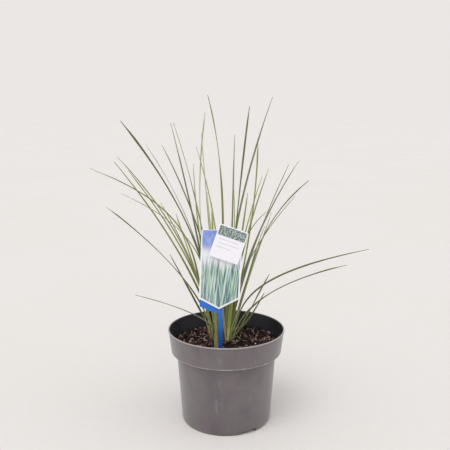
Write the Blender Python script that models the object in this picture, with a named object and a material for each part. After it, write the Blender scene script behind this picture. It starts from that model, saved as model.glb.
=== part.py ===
# Potted lomandra: a grass-like tuft in a tapered nursery pot, with its soil and a plant label.
# Lengths are metres, +Z is up, and the origin is on the pot's axis at the floor.
# The viewer stands on the -Y side, and the label faces that side.

import math

import bmesh
import bpy
from mathutils import Matrix, Vector

MM = 0.001
GAP = 0.3 * MM  # clearance left between touching pieces

# Pot: a 23 cm nursery pot with an upright collar, a tapered body and a raised floor on a foot ring
POT_HEIGHT = 189 * MM
POT_SEGMENTS = 64
WALL = 1.8 * MM
RIM_RADIUS = 117 * MM
LIP_HEIGHT = 4 * MM
LIP_BEVEL = 0.8 * MM
LIP_INSET = 0.4 * MM  # step from the lip's inner edge to the inside of the collar
COLLAR_TOP_RADIUS = 116 * MM
COLLAR_FOOT_RADIUS = 110.8 * MM
COLLAR_FOOT_Z = 144 * MM
COLLAR_BEVEL = 1 * MM
BODY_TOP_RADIUS = 99.8 * MM
BODY_TOP_Z = 140.5 * MM
BODY_FOOT_RADIUS = 90.4 * MM
BODY_FOOT_Z = 6 * MM
BODY_SLOPE = (BODY_TOP_RADIUS - BODY_FOOT_RADIUS) / (BODY_TOP_Z - BODY_FOOT_Z)
FOOT_OUTER_RADIUS = 88.6 * MM
FOOT_INNER_RADIUS = 84.6 * MM
FOOT_DRAFT = 1 * MM
FOOT_BEVEL = 0.5 * MM
PLATE_BOTTOM_Z = 8 * MM
PLATE_TOP_Z = 10.2 * MM
PLATE_CORNER = 4 * MM

# Drainage: arches through the foot ring, each with a hole through the floor behind it
DRAIN_ANGLES = (-61, 59, 179)  # degrees about Z, from +X
ARCH_WIDTH = 36 * MM
ARCH_HEIGHT = 6.8 * MM
ARCH_CORNER = 3 * MM
ARCH_REACH = 12 * MM  # how far an arch is cut in past the foot ring
DRAIN_HOLE_RADIUS = 7 * MM
DRAIN_HOLE_REACH = 70 * MM
DRAIN_HOLE_SEGMENTS = 16
CUT_MARGIN = 3 * MM  # how far a cutter runs past the face it cuts

# Soil: fills the pot to a lumpy surface below the rim
SOIL_LEVEL = 156 * MM
SOIL_LUMP = 2.2 * MM
SOIL_SIDE_GAP = 0.42 * MM  # clearance from the sloping wall of the pot
SOIL_FLAT_RADIUS = 34 * MM  # the surface is level this far out from the crown's centre
SOIL_FLAT_FADE = 20 * MM
SOIL_SWELL = (150.0, 135.0)  # broad lumps along X and Y, in radians per metre
SOIL_SWELL_PHASE = (1.0, 0.4)
SOIL_RIPPLE = (310.0, -240.0)  # slanting ripples, in radians per metre
SOIL_RIPPLE_SHARE = 0.6
SOIL_RINGS = (0.99, 0.92, 0.8, 0.65, 0.5, 0.4)

# Crown: the clump of leaf bases, seated in a pocket of the soil
CROWN_CENTRE = Vector((-9 * MM, 9 * MM))
CROWN_HALF = Vector((29 * MM, 27 * MM))
CROWN_DEPTH = 14 * MM
CROWN_RISE = 8 * MM
CROWN_FOOT_SHARE = 0.97
CROWN_TOP_SHARE = 0.94
CROWN_SEGMENTS = 28
CROWN_LUMPS = ((3, 0.035, 0.8), (7, 0.03, 0.0))  # waves around the crown, depth as a share, phase

# Leaves: long narrow straps that rise from the crown and lean outwards
ROOT_HALF = Vector((25 * MM, 23 * MM))
ROOT_SPACING = 6.2 * MM
ROOT_PASSES = 200
ROOT_PUSH = 0.25  # share of the missing spacing made up in one pass
LEAF_SEGMENTS = 12
LEAF_THICKNESS = 1.5 * MM
LEAF_TIP_WIDTH = 1.2 * MM
LEAF_TIP_THICKNESS = 0.7 * MM
LEAF_CHANNEL = 0.12  # depth of the leaf's channel as a share of its width
LEAF_TAPER_START = 4  # higher keeps the full width further towards the tip
LEAF_TAPER_ROUND = 0.7  # lower rounds the tip more
LEAF_TURN_SHARE = 0.5  # share of the length over which a leaf turns its flat

# One row for each leaf: tip x, y, z (mm), rise, sway (mm), width (mm), facing (degrees).
# Rise is the power that bends a leaf outwards as it climbs, sway bulges it along X at half height,
# and facing turns the flat of its upper half away from the viewer.
LEAVES = (
    (-181, -130, 602, 2.0, -4, 5.5, 15),
    (-209, -10, 533, 2.1, -10, 4.5, -35),
    (-198, 50, 503, 1.4, 9, 4.0, 40),
    (-197, -110, 531, 1.7, -11, 4.5, 30),
    (-275, 48, 506, 4.3, -21, 4.5, -20),
    (-225, 120, 447, 4.3, -4, 4.0, 50),
    (-207, -150, 457, 1.7, -6, 4.5, -30),
    (-106, -60, 353, 1.4, -7, 4.0, 25),
    (-150, -220, 321, 1.3, 21, 4.0, 20),
    (-168, 100, 552, 2.1, -3, 4.0, -45),
    (-112, 170, 395, 1.5, -7, 4.0, 35),
    (-148, 190, 417, 1.7, -2, 4.0, -30),
    (-136, 120, 550, 1.6, 10, 4.5, 30),
    (-103, -40, 597, 2.1, -19, 5.5, -15),
    (-106, 60, 597, 2.0, -5, 4.5, 35),
    (-73, 180, 506, 1.4, -14, 4.5, -40),
    (-65, 160, 543, 1.7, 13, 4.5, 20),
    (-41, 10, 617, 1.5, -25, 4.5, -30),
    (-53, 140, 574, 1.9, -8, 4.0, 45),
    (-35, -20, 649, 4.5, 9, 5.0, 10),
    (-44, 220, 438, 1.7, -4, 4.0, -20),
    (-30, 70, 433, 1.7, -6, 6.0, 5),
    (18, 110, 571, 3.4, 16, 4.5, 25),
    (17, 150, 451, 1.7, 11, 4.0, -35),
    (43, -30, 628, 2.4, 15, 5.5, 15),
    (90, 30, 647, 1.5, -11, 4.5, -30),
    (68, 130, 556, 1.2, 17, 4.0, 40),
    (80, 180, 478, 1.4, -6, 4.0, -25),
    (89, 100, 501, 1.5, -2, 4.5, 30),
    (46, 130, 447, 1.6, 7, 4.0, -45),
    (59, 220, 396, 1.5, 12, 4.0, 20),
    (128, 70, 513, 1.8, 10, 4.0, -35),
    (135, -40, 527, 1.9, 6, 5.0, 25),
    (140, -150, 502, 3.1, 35, 4.5, -30),
    (142, 70, 447, 1.7, -12, 4.0, 35),
    (95, 90, 410, 1.5, 7, 4.0, -20),
    (74, -30, 402, 2.7, 24, 4.0, 30),
    (76, -30, 430, 4.4, 16, 4.0, -40),
    (275, -31, 357, 3.1, 9, 4.5, 30),
    (212, -140, 352, 2.3, 17, 4.5, -25),
    (74, -170, 344, 0.7, -5, 4.0, 30),
    (71, -80, 285, 0.9, 3, 4.0, -30),
    (-15, 220, 330, 1.8, 0, 4.5, 20),
    (20, 200, 315, 1.9, 0, 4.5, -30),
    (8, 130, 360, 1.5, 0, 4.5, 15),
    (-22, 90, 370, 1.4, 4, 4.0, -20),
    (26, 60, 350, 1.4, 0, 4.0, 30),
    (-3, 170, 280, 1.8, 0, 4.0, -10),
    (4, 20, 390, 1.3, 0, 4.0, 25),
    (-13, 5, 360, 1.2, 0, 4.0, -25),
)

# Label: a blue stake with a flag, a printed card with a pointed foot and a smaller tilted card
LABEL_FOOT = Vector((-11.5 * MM, -36 * MM, 0.0))
LABEL_YAW = math.radians(8)
STAKE_WIDTH = 8 * MM
STAKE_THICKNESS = 1.4 * MM
STAKE_DEPTH = 60 * MM
STAKE_POINT = 10 * MM
STAKE_SLOT_TOP = 20 * MM  # how far the cutter of the slot runs above the soil
FLAG_LEFT = -40.9 * MM
FLAG_CORNER_Z = 246 * MM
FLAG_FOOT_Z = 229 * MM
FLAG_LEAN = 8 * MM
FLAG_TOP_Z = 360 * MM
CARD_WIDTH = 80 * MM
CARD_SIDE = 136 * MM
CARD_POINT = 21 * MM
CARD_THICKNESS = 0.6 * MM
CARD_FOOT = Vector((-3.2 * MM, 239 * MM))
CARD_ROLL = math.radians(2.6)
CARD_CORNER = 3 * MM
PRICE_WIDTH = 59.5 * MM
PRICE_HEIGHT = 65 * MM
PRICE_CENTRE = Vector((15.9 * MM, 368.4 * MM))
PRICE_ROLL = math.radians(20.6)
PRICE_TILT = math.radians(4)
CORNER_STEPS = 4


def clear_scene():
    """Remove whatever objects the scene starts with."""
    for existing in list(bpy.data.objects):
        bpy.data.objects.remove(existing, do_unlink=True)


def make_material(name, colour, roughness, metallic=0.0):
    """Return a Principled material."""
    material = bpy.data.materials.new(name)
    material.use_nodes = True
    shader = material.node_tree.nodes["Principled BSDF"]
    shader.inputs["Base Color"].default_value = (*colour, 1.0)
    shader.inputs["Roughness"].default_value = roughness
    shader.inputs["Metallic"].default_value = metallic
    return material


def add_object(name, mesh_builder, material, smooth_angle=None):
    """Turn a bmesh into a named object with its own material."""
    bmesh.ops.recalc_face_normals(mesh_builder, faces=mesh_builder.faces)
    mesh = bpy.data.meshes.new(name)
    mesh_builder.to_mesh(mesh)
    mesh_builder.free()
    mesh.materials.append(material)
    if smooth_angle is not None:
        mesh.shade_smooth()
        mesh.set_sharp_from_angle(angle=math.radians(smooth_angle))
    made = bpy.data.objects.new(name, mesh)
    bpy.context.scene.collection.objects.link(made)
    return made


def add_cutter(name, mesh_builder):
    """Make a hidden guide object that another object is cut with."""
    bmesh.ops.recalc_face_normals(mesh_builder, faces=mesh_builder.faces)
    mesh = bpy.data.meshes.new(name)
    mesh_builder.to_mesh(mesh)
    mesh_builder.free()
    cutter = bpy.data.objects.new(name, mesh)
    bpy.context.scene.collection.objects.link(cutter)
    cutter.display_type = "WIRE"
    cutter.hide_render = True
    return cutter


def cut(target, cutter):
    """Cut one object out of another with a Boolean modifier."""
    modifier = target.modifiers.new(cutter.name, "BOOLEAN")
    modifier.operation = "DIFFERENCE"
    modifier.solver = "EXACT"
    modifier.object = cutter


def skin_rings(builder, rings):
    """Join rings of points into a tube, with a flat face on each end."""
    loops = [[builder.verts.new(point) for point in ring] for ring in rings]
    count = len(loops[0])
    for lower, upper in zip(loops, loops[1:]):
        for index in range(count):
            following = (index + 1) % count
            builder.faces.new((lower[index], lower[following], upper[following], upper[index]))
    builder.faces.new(list(reversed(loops[0])))
    builder.faces.new(loops[-1])


def circle_points(radius, height, segments=POT_SEGMENTS):
    """Return the points of a level circle about Z."""
    step = math.tau / segments
    return [
        Vector((radius * math.cos(index * step), radius * math.sin(index * step), height))
        for index in range(segments)
    ]


def extrude_outline(outline, thickness, place):
    """Return a bmesh plate: an outline in the XZ plane, its front at y = 0, thickened towards +Y."""
    builder = bmesh.new()
    front = [place @ Vector((x, 0.0, z)) for x, z in outline]
    back = [place @ Vector((x, thickness, z)) for x, z in outline]
    skin_rings(builder, (front, back))
    return builder


def rounded_corner(corner, before, after, radius):
    """Return the points of an arc that rounds one square corner."""
    to_before = (before - corner).normalized()
    to_after = (after - corner).normalized()
    centre = corner + (to_before + to_after) * radius
    points = []
    for index in range(CORNER_STEPS + 1):
        angle = index / CORNER_STEPS * math.pi / 2
        points.append(centre - to_after * radius * math.cos(angle) - to_before * radius * math.sin(angle))
    return points


def pot_inner_profile():
    """Return the inside wall of the pot as (radius, height) pairs, from the lip down to the floor."""
    collar_share = (SOIL_LEVEL - COLLAR_FOOT_Z) / (POT_HEIGHT - LIP_HEIGHT - COLLAR_FOOT_Z)
    collar_at_soil = COLLAR_FOOT_RADIUS + collar_share * (COLLAR_TOP_RADIUS - COLLAR_FOOT_RADIUS)
    corner_z = PLATE_TOP_Z + PLATE_CORNER
    corner_radius = BODY_FOOT_RADIUS + BODY_SLOPE * (corner_z - BODY_FOOT_Z) - WALL
    return [
        (COLLAR_TOP_RADIUS - WALL, POT_HEIGHT - LIP_HEIGHT),
        (collar_at_soil - WALL, SOIL_LEVEL),
        (COLLAR_FOOT_RADIUS - WALL, COLLAR_FOOT_Z + WALL),
        (BODY_TOP_RADIUS - WALL, BODY_TOP_Z + WALL / 2),
        (corner_radius, corner_z),
        (corner_radius - PLATE_CORNER, PLATE_TOP_Z),
    ]


def build_pot():
    """Turn the pot's wall about Z, then cut the drainage arches and holes."""
    builder = bmesh.new()
    profile = [
        (FOOT_INNER_RADIUS - FOOT_DRAFT, PLATE_BOTTOM_Z),
        (FOOT_INNER_RADIUS, 0.0),
        (FOOT_OUTER_RADIUS, 0.0),
        (BODY_FOOT_RADIUS - FOOT_BEVEL, BODY_FOOT_Z / 2),
        (BODY_FOOT_RADIUS, BODY_FOOT_Z),
        (BODY_TOP_RADIUS, BODY_TOP_Z),
        (COLLAR_FOOT_RADIUS - COLLAR_BEVEL, COLLAR_FOOT_Z - COLLAR_BEVEL),
        (COLLAR_FOOT_RADIUS, COLLAR_FOOT_Z),
        (COLLAR_TOP_RADIUS, POT_HEIGHT - LIP_HEIGHT),
        (RIM_RADIUS, POT_HEIGHT - LIP_HEIGHT + LIP_BEVEL),
        (RIM_RADIUS, POT_HEIGHT - LIP_BEVEL),
        (RIM_RADIUS - LIP_BEVEL, POT_HEIGHT),
        (COLLAR_TOP_RADIUS - WALL + LIP_INSET, POT_HEIGHT),
    ]
    profile += pot_inner_profile()
    skin_rings(builder, [circle_points(radius, height) for radius, height in profile])
    material = make_material("pot_plastic", (0.19, 0.17, 0.175), 0.5)
    pot = add_object("pot", builder, material, smooth_angle=35)
    for number, angle in enumerate(DRAIN_ANGLES, start=1):
        turn = Matrix.Rotation(math.radians(angle), 4, "Z")
        cut(pot, build_arch_cutter(number, turn))
        cut(pot, build_hole_cutter(number, turn))
    return pot


def build_arch_cutter(number, turn):
    """Return a block with rounded top corners that crosses the foot ring."""
    builder = bmesh.new()
    half = ARCH_WIDTH / 2
    left_top = Vector((-half, ARCH_HEIGHT))
    right_top = Vector((half, ARCH_HEIGHT))
    left_foot = Vector((-half, -CUT_MARGIN))
    right_foot = Vector((half, -CUT_MARGIN))
    outline = [left_foot, right_foot]
    outline += rounded_corner(right_top, right_foot, left_top, ARCH_CORNER)
    outline += rounded_corner(left_top, right_top, left_foot, ARCH_CORNER)
    inner = [turn @ Vector((FOOT_INNER_RADIUS - ARCH_REACH, y, z)) for y, z in outline]
    outer = [turn @ Vector((RIM_RADIUS, y, z)) for y, z in outline]
    skin_rings(builder, (inner, outer))
    return add_cutter(f"arch_cutter_{number}", builder)


def build_hole_cutter(number, turn):
    """Return an upright cylinder that crosses the pot's floor."""
    builder = bmesh.new()
    centre = turn @ Vector((DRAIN_HOLE_REACH, 0.0, 0.0))
    rings = [
        [point + centre for point in circle_points(DRAIN_HOLE_RADIUS, height, DRAIN_HOLE_SEGMENTS)]
        for height in (PLATE_BOTTOM_Z - CUT_MARGIN, PLATE_TOP_Z + CUT_MARGIN)
    ]
    skin_rings(builder, rings)
    return add_cutter(f"hole_cutter_{number}", builder)


def soil_height(x, y):
    """Return the height of the soil's surface, level under the crown and lumpy around it."""
    away = math.hypot(x - CROWN_CENTRE.x, y - CROWN_CENTRE.y)
    share = min(1.0, max(0.0, (away - SOIL_FLAT_RADIUS) / SOIL_FLAT_FADE))
    swell = math.sin(SOIL_SWELL[0] * x + SOIL_SWELL_PHASE[0])
    swell *= math.sin(SOIL_SWELL[1] * y + SOIL_SWELL_PHASE[1])
    ripple = math.sin(SOIL_RIPPLE[0] * x + SOIL_RIPPLE[1] * y)
    lumps = (swell + SOIL_RIPPLE_SHARE * ripple) / (1 + SOIL_RIPPLE_SHARE)
    return SOIL_LEVEL + SOIL_LUMP * share * lumps


def build_soil():
    """Fill the pot with one solid, with a pocket for the crown and a slot for the stake."""
    builder = bmesh.new()
    wall = pot_inner_profile()[1:]
    rings = []
    for radius, height in reversed(wall[1:]):
        rings.append(circle_points(radius - SOIL_SIDE_GAP, height + GAP))
    for share in (1.0, *SOIL_RINGS):
        ring = circle_points(wall[0][0] * share - SOIL_SIDE_GAP, SOIL_LEVEL)
        rings.append([Vector((p.x, p.y, soil_height(p.x, p.y))) for p in ring])
    skin_rings(builder, rings)
    material = make_material("soil_mix", (0.045, 0.03, 0.022), 0.95)
    soil = add_object("soil", builder, material)
    pocket = bmesh.new()
    skin_rings(pocket, (
        crown_ring(SOIL_LEVEL - CROWN_DEPTH, 1.0, GAP),
        crown_ring(SOIL_LEVEL + CROWN_RISE, 1.0, GAP),
    ))
    cut(soil, add_cutter("crown_pocket", pocket))
    slot = extrude_outline(slot_outline(), STAKE_THICKNESS + 2 * GAP, label_place(-GAP))
    cut(soil, add_cutter("stake_slot", slot))
    return soil


def crown_ring(height, share, margin=0.0):
    """Return one lumpy oval outline of the crown."""
    points = []
    for index in range(CROWN_SEGMENTS):
        angle = index * math.tau / CROWN_SEGMENTS
        lump = 1 + sum(depth * math.sin(waves * angle + phase) for waves, depth, phase in CROWN_LUMPS)
        x = CROWN_CENTRE.x + (CROWN_HALF.x * lump * share + margin) * math.cos(angle)
        y = CROWN_CENTRE.y + (CROWN_HALF.y * lump * share + margin) * math.sin(angle)
        points.append(Vector((x, y, height)))
    return points


def build_crown():
    """Make the clump that the leaves grow from, half sunk in the soil."""
    builder = bmesh.new()
    skin_rings(builder, (
        crown_ring(SOIL_LEVEL - CROWN_DEPTH + GAP, CROWN_FOOT_SHARE),
        crown_ring(SOIL_LEVEL - CROWN_DEPTH / 2, 1.0),
        crown_ring(SOIL_LEVEL + CROWN_RISE / 2, 1.0),
        crown_ring(SOIL_LEVEL + CROWN_RISE, CROWN_TOP_SHARE),
    ))
    material = make_material("crown_fibre", (0.16, 0.1, 0.045), 0.85)
    return add_object("crown", builder, material)


def leaf_roots():
    """Place one root for each leaf: upright leaves in the middle, leaning ones towards the edge."""
    leans = []
    for tip_x, tip_y, tip_z, *_ in LEAVES:
        away = Vector((tip_x * MM, tip_y * MM)) - CROWN_CENTRE
        leans.append((away.length / (tip_z * MM - SOIL_LEVEL), math.atan2(away.y, away.x)))
    order = sorted(range(len(LEAVES)), key=lambda index: leans[index][0])
    roots = [None] * len(LEAVES)
    for rank, index in enumerate(order):
        reach = math.sqrt((rank + 0.5) / len(LEAVES))
        angle = leans[index][1]
        roots[index] = Vector((
            ROOT_HALF.x * reach * math.cos(angle),
            ROOT_HALF.y * reach * math.sin(angle),
        ))
    for _ in range(ROOT_PASSES):
        roots = spread_roots(roots)
    return [root + CROWN_CENTRE for root in roots]


def spread_roots(roots):
    """Push roots that stand too close apart, and keep each one inside the crown."""
    moved = []
    for index, root in enumerate(roots):
        shift = Vector((0.0, 0.0))
        for other_index, other in enumerate(roots):
            apart = root - other
            if other_index != index and apart.length < ROOT_SPACING:
                shift += apart.normalized() * (ROOT_SPACING - apart.length) * ROOT_PUSH
        placed = root + shift
        reach = math.hypot(placed.x / ROOT_HALF.x, placed.y / ROOT_HALF.y)
        moved.append(placed / max(1.0, reach))
    return moved


def leaf_line(root, row):
    """Return the centre line of a leaf and the direction of its width at each point."""
    tip_x, tip_y, tip_z, rise, sway, _, facing = row
    start = Vector((root.x, root.y, SOIL_LEVEL + CROWN_RISE + GAP))
    climb = Vector((tip_x * MM, tip_y * MM, tip_z * MM)) - start
    outward = Vector((climb.x, climb.y, 0.0)).normalized()
    base_side = Vector((-outward.y, outward.x, 0.0))
    turn = math.radians(facing)
    top_side = Vector((math.cos(turn), math.sin(turn), 0.0))
    if base_side.dot(top_side) < 0:
        base_side.negate()
    line = []
    for index in range(LEAF_SEGMENTS + 1):
        share = index / LEAF_SEGMENTS
        reach = share ** rise
        bulge = 4 * share * (1 - share) * sway * MM
        point = start + Vector((climb.x * reach + bulge, climb.y * reach, climb.z * share))
        blend = min(1.0, share / LEAF_TURN_SHARE)
        blend = blend * blend * (3 - 2 * blend)
        line.append((share, point, base_side.lerp(top_side, blend)))
    return line


def build_leaf(number, root, row, material):
    """Make one leaf: a shallow channelled strap that narrows to its tip."""
    builder = bmesh.new()
    width = row[5] * MM
    line = leaf_line(root, row)
    rings = []
    for index, (share, point, side) in enumerate(line):
        if index == 0:
            along = Vector((0.0, 0.0, 1.0))
        else:
            after = line[min(index + 1, LEAF_SEGMENTS)][1]
            along = (after - line[index - 1][1]).normalized()
        side = (side - along * side.dot(along)).normalized()
        over = along.cross(side)
        taper = (1 - share ** LEAF_TAPER_START) ** LEAF_TAPER_ROUND
        half = (LEAF_TIP_WIDTH + (width - LEAF_TIP_WIDTH) * taper) / 2
        thick = (LEAF_TIP_THICKNESS + (LEAF_THICKNESS - LEAF_TIP_THICKNESS) * (1 - share)) / 2
        lift = LEAF_CHANNEL * half * 2 * taper
        rings.append((
            point - side * half + over * lift,
            point - over * thick,
            point + side * half + over * lift,
            point + over * thick,
        ))
    skin_rings(builder, rings)
    return add_object(f"leaf_{number:02d}", builder, material, smooth_angle=60)


def build_leaves():
    """Make every leaf from its row of sizes."""
    leaves = []
    for number, (root, row) in enumerate(zip(leaf_roots(), LEAVES), start=1):
        material = make_material(f"leaf_green_{number:02d}", (0.14, 0.2, 0.06), 0.55)
        leaves.append(build_leaf(number, root, row, material))
    return leaves


def label_place(back=0.0):
    """Return the frame of the label: X across it, Z up, moved back along its own Y."""
    turn = Matrix.Rotation(LABEL_YAW, 4, "Z")
    return Matrix.Translation(LABEL_FOOT) @ turn @ Matrix.Translation((0.0, back, 0.0))


def slot_outline():
    """Return the slot for the buried stretch of the stake, from below its point to above the soil."""
    half = STAKE_WIDTH / 2 + GAP
    foot = SOIL_LEVEL - STAKE_DEPTH - GAP
    shoulder = foot + STAKE_POINT
    top = SOIL_LEVEL + STAKE_SLOT_TOP
    return [(0.0, foot), (half, shoulder), (half, top), (-half, top), (-half, shoulder)]


def stake_outline():
    """Return the whole blue stake: its point, its stem and the flag at its top."""
    half = STAKE_WIDTH / 2
    foot = SOIL_LEVEL - STAKE_DEPTH
    return [
        (0.0, foot),
        (half, foot + STAKE_POINT),
        (half, FLAG_TOP_Z),
        (FLAG_LEFT + FLAG_LEAN, FLAG_TOP_Z),
        (FLAG_LEFT, FLAG_CORNER_Z),
        (-half, FLAG_FOOT_Z),
        (-half, foot + STAKE_POINT),
    ]


def card_outline():
    """Return the printed card: a pointed foot, straight sides and rounded top corners."""
    half = CARD_WIDTH / 2
    top = CARD_POINT + CARD_SIDE
    right_top = Vector((half, top))
    left_top = Vector((-half, top))
    right_foot = Vector((half, CARD_POINT))
    left_foot = Vector((-half, CARD_POINT))
    points = [Vector((0.0, 0.0)), right_foot]
    points += rounded_corner(right_top, right_foot, left_top, CARD_CORNER)
    points += rounded_corner(left_top, right_top, left_foot, CARD_CORNER)
    points.append(left_foot)
    return points


def price_outline():
    """Return the small card: a rectangle about its own centre with rounded corners."""
    half_width = PRICE_WIDTH / 2
    half_height = PRICE_HEIGHT / 2
    corners = [
        Vector((half_width, -half_height)),
        Vector((half_width, half_height)),
        Vector((-half_width, half_height)),
        Vector((-half_width, -half_height)),
    ]
    points = []
    for index, corner in enumerate(corners):
        points += rounded_corner(corner, corners[index - 1], corners[(index + 1) % 4], CARD_CORNER)
    return points


def build_label():
    """Make the stake, the printed card in front of it and the tilted card in front of both."""
    blue = make_material("stake_blue", (0.02, 0.13, 0.55), 0.35)
    white = make_material("card_print", (0.72, 0.76, 0.76), 0.4)
    pale = make_material("price_print", (0.85, 0.84, 0.86), 0.45)
    stake = extrude_outline(stake_outline(), STAKE_THICKNESS, label_place())
    add_object("label_stake", stake, blue)
    card_back = -(CARD_THICKNESS + GAP)
    card_place = (
        label_place(card_back)
        @ Matrix.Translation((CARD_FOOT.x, 0.0, CARD_FOOT.y))
        @ Matrix.Rotation(CARD_ROLL, 4, "Y")
    )
    add_object("label_card", extrude_outline(card_outline(), CARD_THICKNESS, card_place), white)
    lean = math.sin(PRICE_TILT) * PRICE_HEIGHT / 2
    price_place = (
        label_place(card_back - CARD_THICKNESS - GAP - lean)
        @ Matrix.Translation((PRICE_CENTRE.x, 0.0, PRICE_CENTRE.y))
        @ Matrix.Rotation(PRICE_ROLL, 4, "Y")
        @ Matrix.Rotation(-PRICE_TILT, 4, "X")
    )
    add_object("price_card", extrude_outline(price_outline(), CARD_THICKNESS, price_place), pale)


def main():
    """Build the whole potted plant."""
    clear_scene()
    build_pot()
    build_soil()
    build_crown()
    build_leaves()
    build_label()


main()
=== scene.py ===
"""Looks of a potted lomandra: a nursery pot, bark-rich soil, fifty strap leaves and a staked label.

Lengths are metres in the frame's own axes. +Z is up, the origin is on the pot's axis at the floor,
and the label faces -Y, where the viewer stands.
"""

import logging
import math
import random
from dataclasses import dataclass
from enum import Enum

import bmesh
import bpy
from mathutils import Matrix, Vector, noise


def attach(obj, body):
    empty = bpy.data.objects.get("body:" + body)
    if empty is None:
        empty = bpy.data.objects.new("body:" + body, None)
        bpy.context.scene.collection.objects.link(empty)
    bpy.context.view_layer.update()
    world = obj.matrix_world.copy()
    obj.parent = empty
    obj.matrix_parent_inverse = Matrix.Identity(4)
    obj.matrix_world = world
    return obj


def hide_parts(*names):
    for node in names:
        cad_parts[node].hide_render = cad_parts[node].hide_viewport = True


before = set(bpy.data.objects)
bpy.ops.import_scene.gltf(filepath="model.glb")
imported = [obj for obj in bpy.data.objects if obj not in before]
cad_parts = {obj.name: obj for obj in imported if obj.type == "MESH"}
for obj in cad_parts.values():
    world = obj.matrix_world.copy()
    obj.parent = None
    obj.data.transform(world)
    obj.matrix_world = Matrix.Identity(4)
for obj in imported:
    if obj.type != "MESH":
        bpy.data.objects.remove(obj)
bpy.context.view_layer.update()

LOG = logging.getLogger("potted_lomandra")
MM = 0.001
BODY = "root"

Colour = tuple[float, float, float, float]


def tint(red: int, green: int, blue: int) -> Colour:
    """Turn a screen colour of 0 to 255 into the linear colour that a shader takes.

    Args:
        red: Red part.
        green: Green part.
        blue: Blue part.

    Returns:
        Red, green, blue and alpha in linear light.
    """
    parts = []
    for part in (red, green, blue):
        share = part / 255
        parts.append(share / 12.92 if share <= 0.04045 else ((share + 0.055) / 1.055) ** 2.4)
    return (*parts, 1.0)


def smoothstep(low: float, high: float, value: float) -> float:
    """Return 0 below low, 1 above high, and a smooth rise between them."""
    share = min(1.0, max(0.0, (value - low) / (high - low)))
    return share * share * (3 - 2 * share)


class Board:
    """A node tree that is being wired, with one short call for each kind of wiring."""

    def __init__(self, tree: bpy.types.NodeTree) -> None:
        """Keep the tree that the nodes go into."""
        self.tree = tree

    def node(self, kind: str, inputs: dict | None = None, **settings: object) -> bpy.types.Node:
        """Add a node.

        Args:
            kind: Blender's name of the node type.
            inputs: Values or sockets, by input name or index.
            **settings: Properties of the node, set before its inputs.

        Returns:
            The new node.
        """
        made = self.tree.nodes.new(kind)
        for name, value in settings.items():
            setattr(made, name, value)
        for name, value in (inputs or {}).items():
            self.feed(made, name, value)
        return made

    def feed(self, node: bpy.types.Node, name: str | int, value: object) -> None:
        """Link a socket to a node's input, or set a plain value on it.

        Args:
            node: Node whose input is fed.
            name: Name or index of the input. Inputs that the node's mode hides are passed over.
            value: A socket to link, or a value to set.
        """
        if isinstance(name, int):
            socket = node.inputs[name]
        else:
            socket = next(item for item in node.inputs if item.name == name and item.enabled)
        if isinstance(value, bpy.types.NodeSocket):
            self.tree.links.new(value, socket)
        else:
            socket.default_value = value

    def math(self, operation: str, first: object, second: object = 0.0, clamp: bool = False):
        """Return the output of a Math node."""
        inputs = {0: first, 1: second}
        made = self.node("ShaderNodeMath", inputs, operation=operation, use_clamp=clamp)
        return made.outputs[0]

    def rise(self, value: object, low: float, high: float, start: float = 0.0, end: float = 1.0):
        """Return a smooth step from start at low to end at high."""
        inputs = {"Value": value, "From Min": low, "From Max": high, "To Min": start, "To Max": end}
        made = self.node("ShaderNodeMapRange", inputs, interpolation_type="SMOOTHSTEP")
        return made.outputs[0]

    def mix(self, factor: object, first: object, second: object, blend: str = "MIX"):
        """Return a blend of two colours."""
        made = self.node("ShaderNodeMix", data_type="RGBA", blend_type=blend)
        for name, value in (("Factor", factor), ("A", first), ("B", second)):
            self.feed(made, name, value)
        return next(item for item in made.outputs if item.enabled)

    def ramp(self, factor: object, stops: list[tuple[float, Colour]]):
        """Return a colour ramp's colour."""
        made = self.node("ShaderNodeValToRGB", {0: factor})
        elements = made.color_ramp.elements
        while len(elements) < len(stops):
            elements.new(1.0)
        for element, (place, colour) in zip(elements, stops):
            element.position = place
            element.color = colour
        return made.outputs[0]

    def noise(self, vector: object, scale: float, detail: float = 2.0, roughness: float = 0.5):
        """Return the value of a noise texture."""
        inputs = {"Vector": vector, "Scale": scale, "Detail": detail, "Roughness": roughness}
        return self.node("ShaderNodeTexNoise", inputs).outputs[0]

    def attribute(self, name: str, output: str = "Fac"):
        """Return a named attribute of the mesh, in a shader."""
        return self.node("ShaderNodeAttribute", attribute_name=name).outputs[output]

    def place(self) -> bpy.types.NodeSocket:
        """Return the point's place in the object's own axes, in a shader."""
        return self.node("ShaderNodeTexCoord").outputs["Object"]

    def scaled(self, vector: object, scale: tuple[float, float, float], turn: float = 0.0):
        """Return a vector turned about Z and then scaled along each axis."""
        inputs = {"Vector": vector, "Scale": scale, "Rotation": (0.0, 0.0, turn)}
        return self.node("ShaderNodeMapping", inputs, vector_type="POINT").outputs[0]

    def group(self, tree: bpy.types.NodeTree, **inputs: object) -> bpy.types.Node:
        """Place a shader node group with its own values, underscores standing for spaces."""
        made = self.node("ShaderNodeGroup", node_tree=tree)
        for name, value in inputs.items():
            self.feed(made, name.replace("_", " "), value)
        return made


def new_group(name: str, kind: str, sockets: list[tuple[str, str, str, object]]) -> Board:
    """Start a node group.

    Args:
        name: Name of the group.
        kind: ShaderNodeTree or GeometryNodeTree.
        sockets: Rows of direction, name, socket type and default value (None for none).

    Returns:
        The board of the group.
    """
    tree = bpy.data.node_groups.new(name, kind)
    for direction, label, socket_type, default in sockets:
        made = tree.interface.new_socket(label, in_out=direction, socket_type=socket_type)
        if default is not None:
            made.default_value = default
    return Board(tree)


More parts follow.
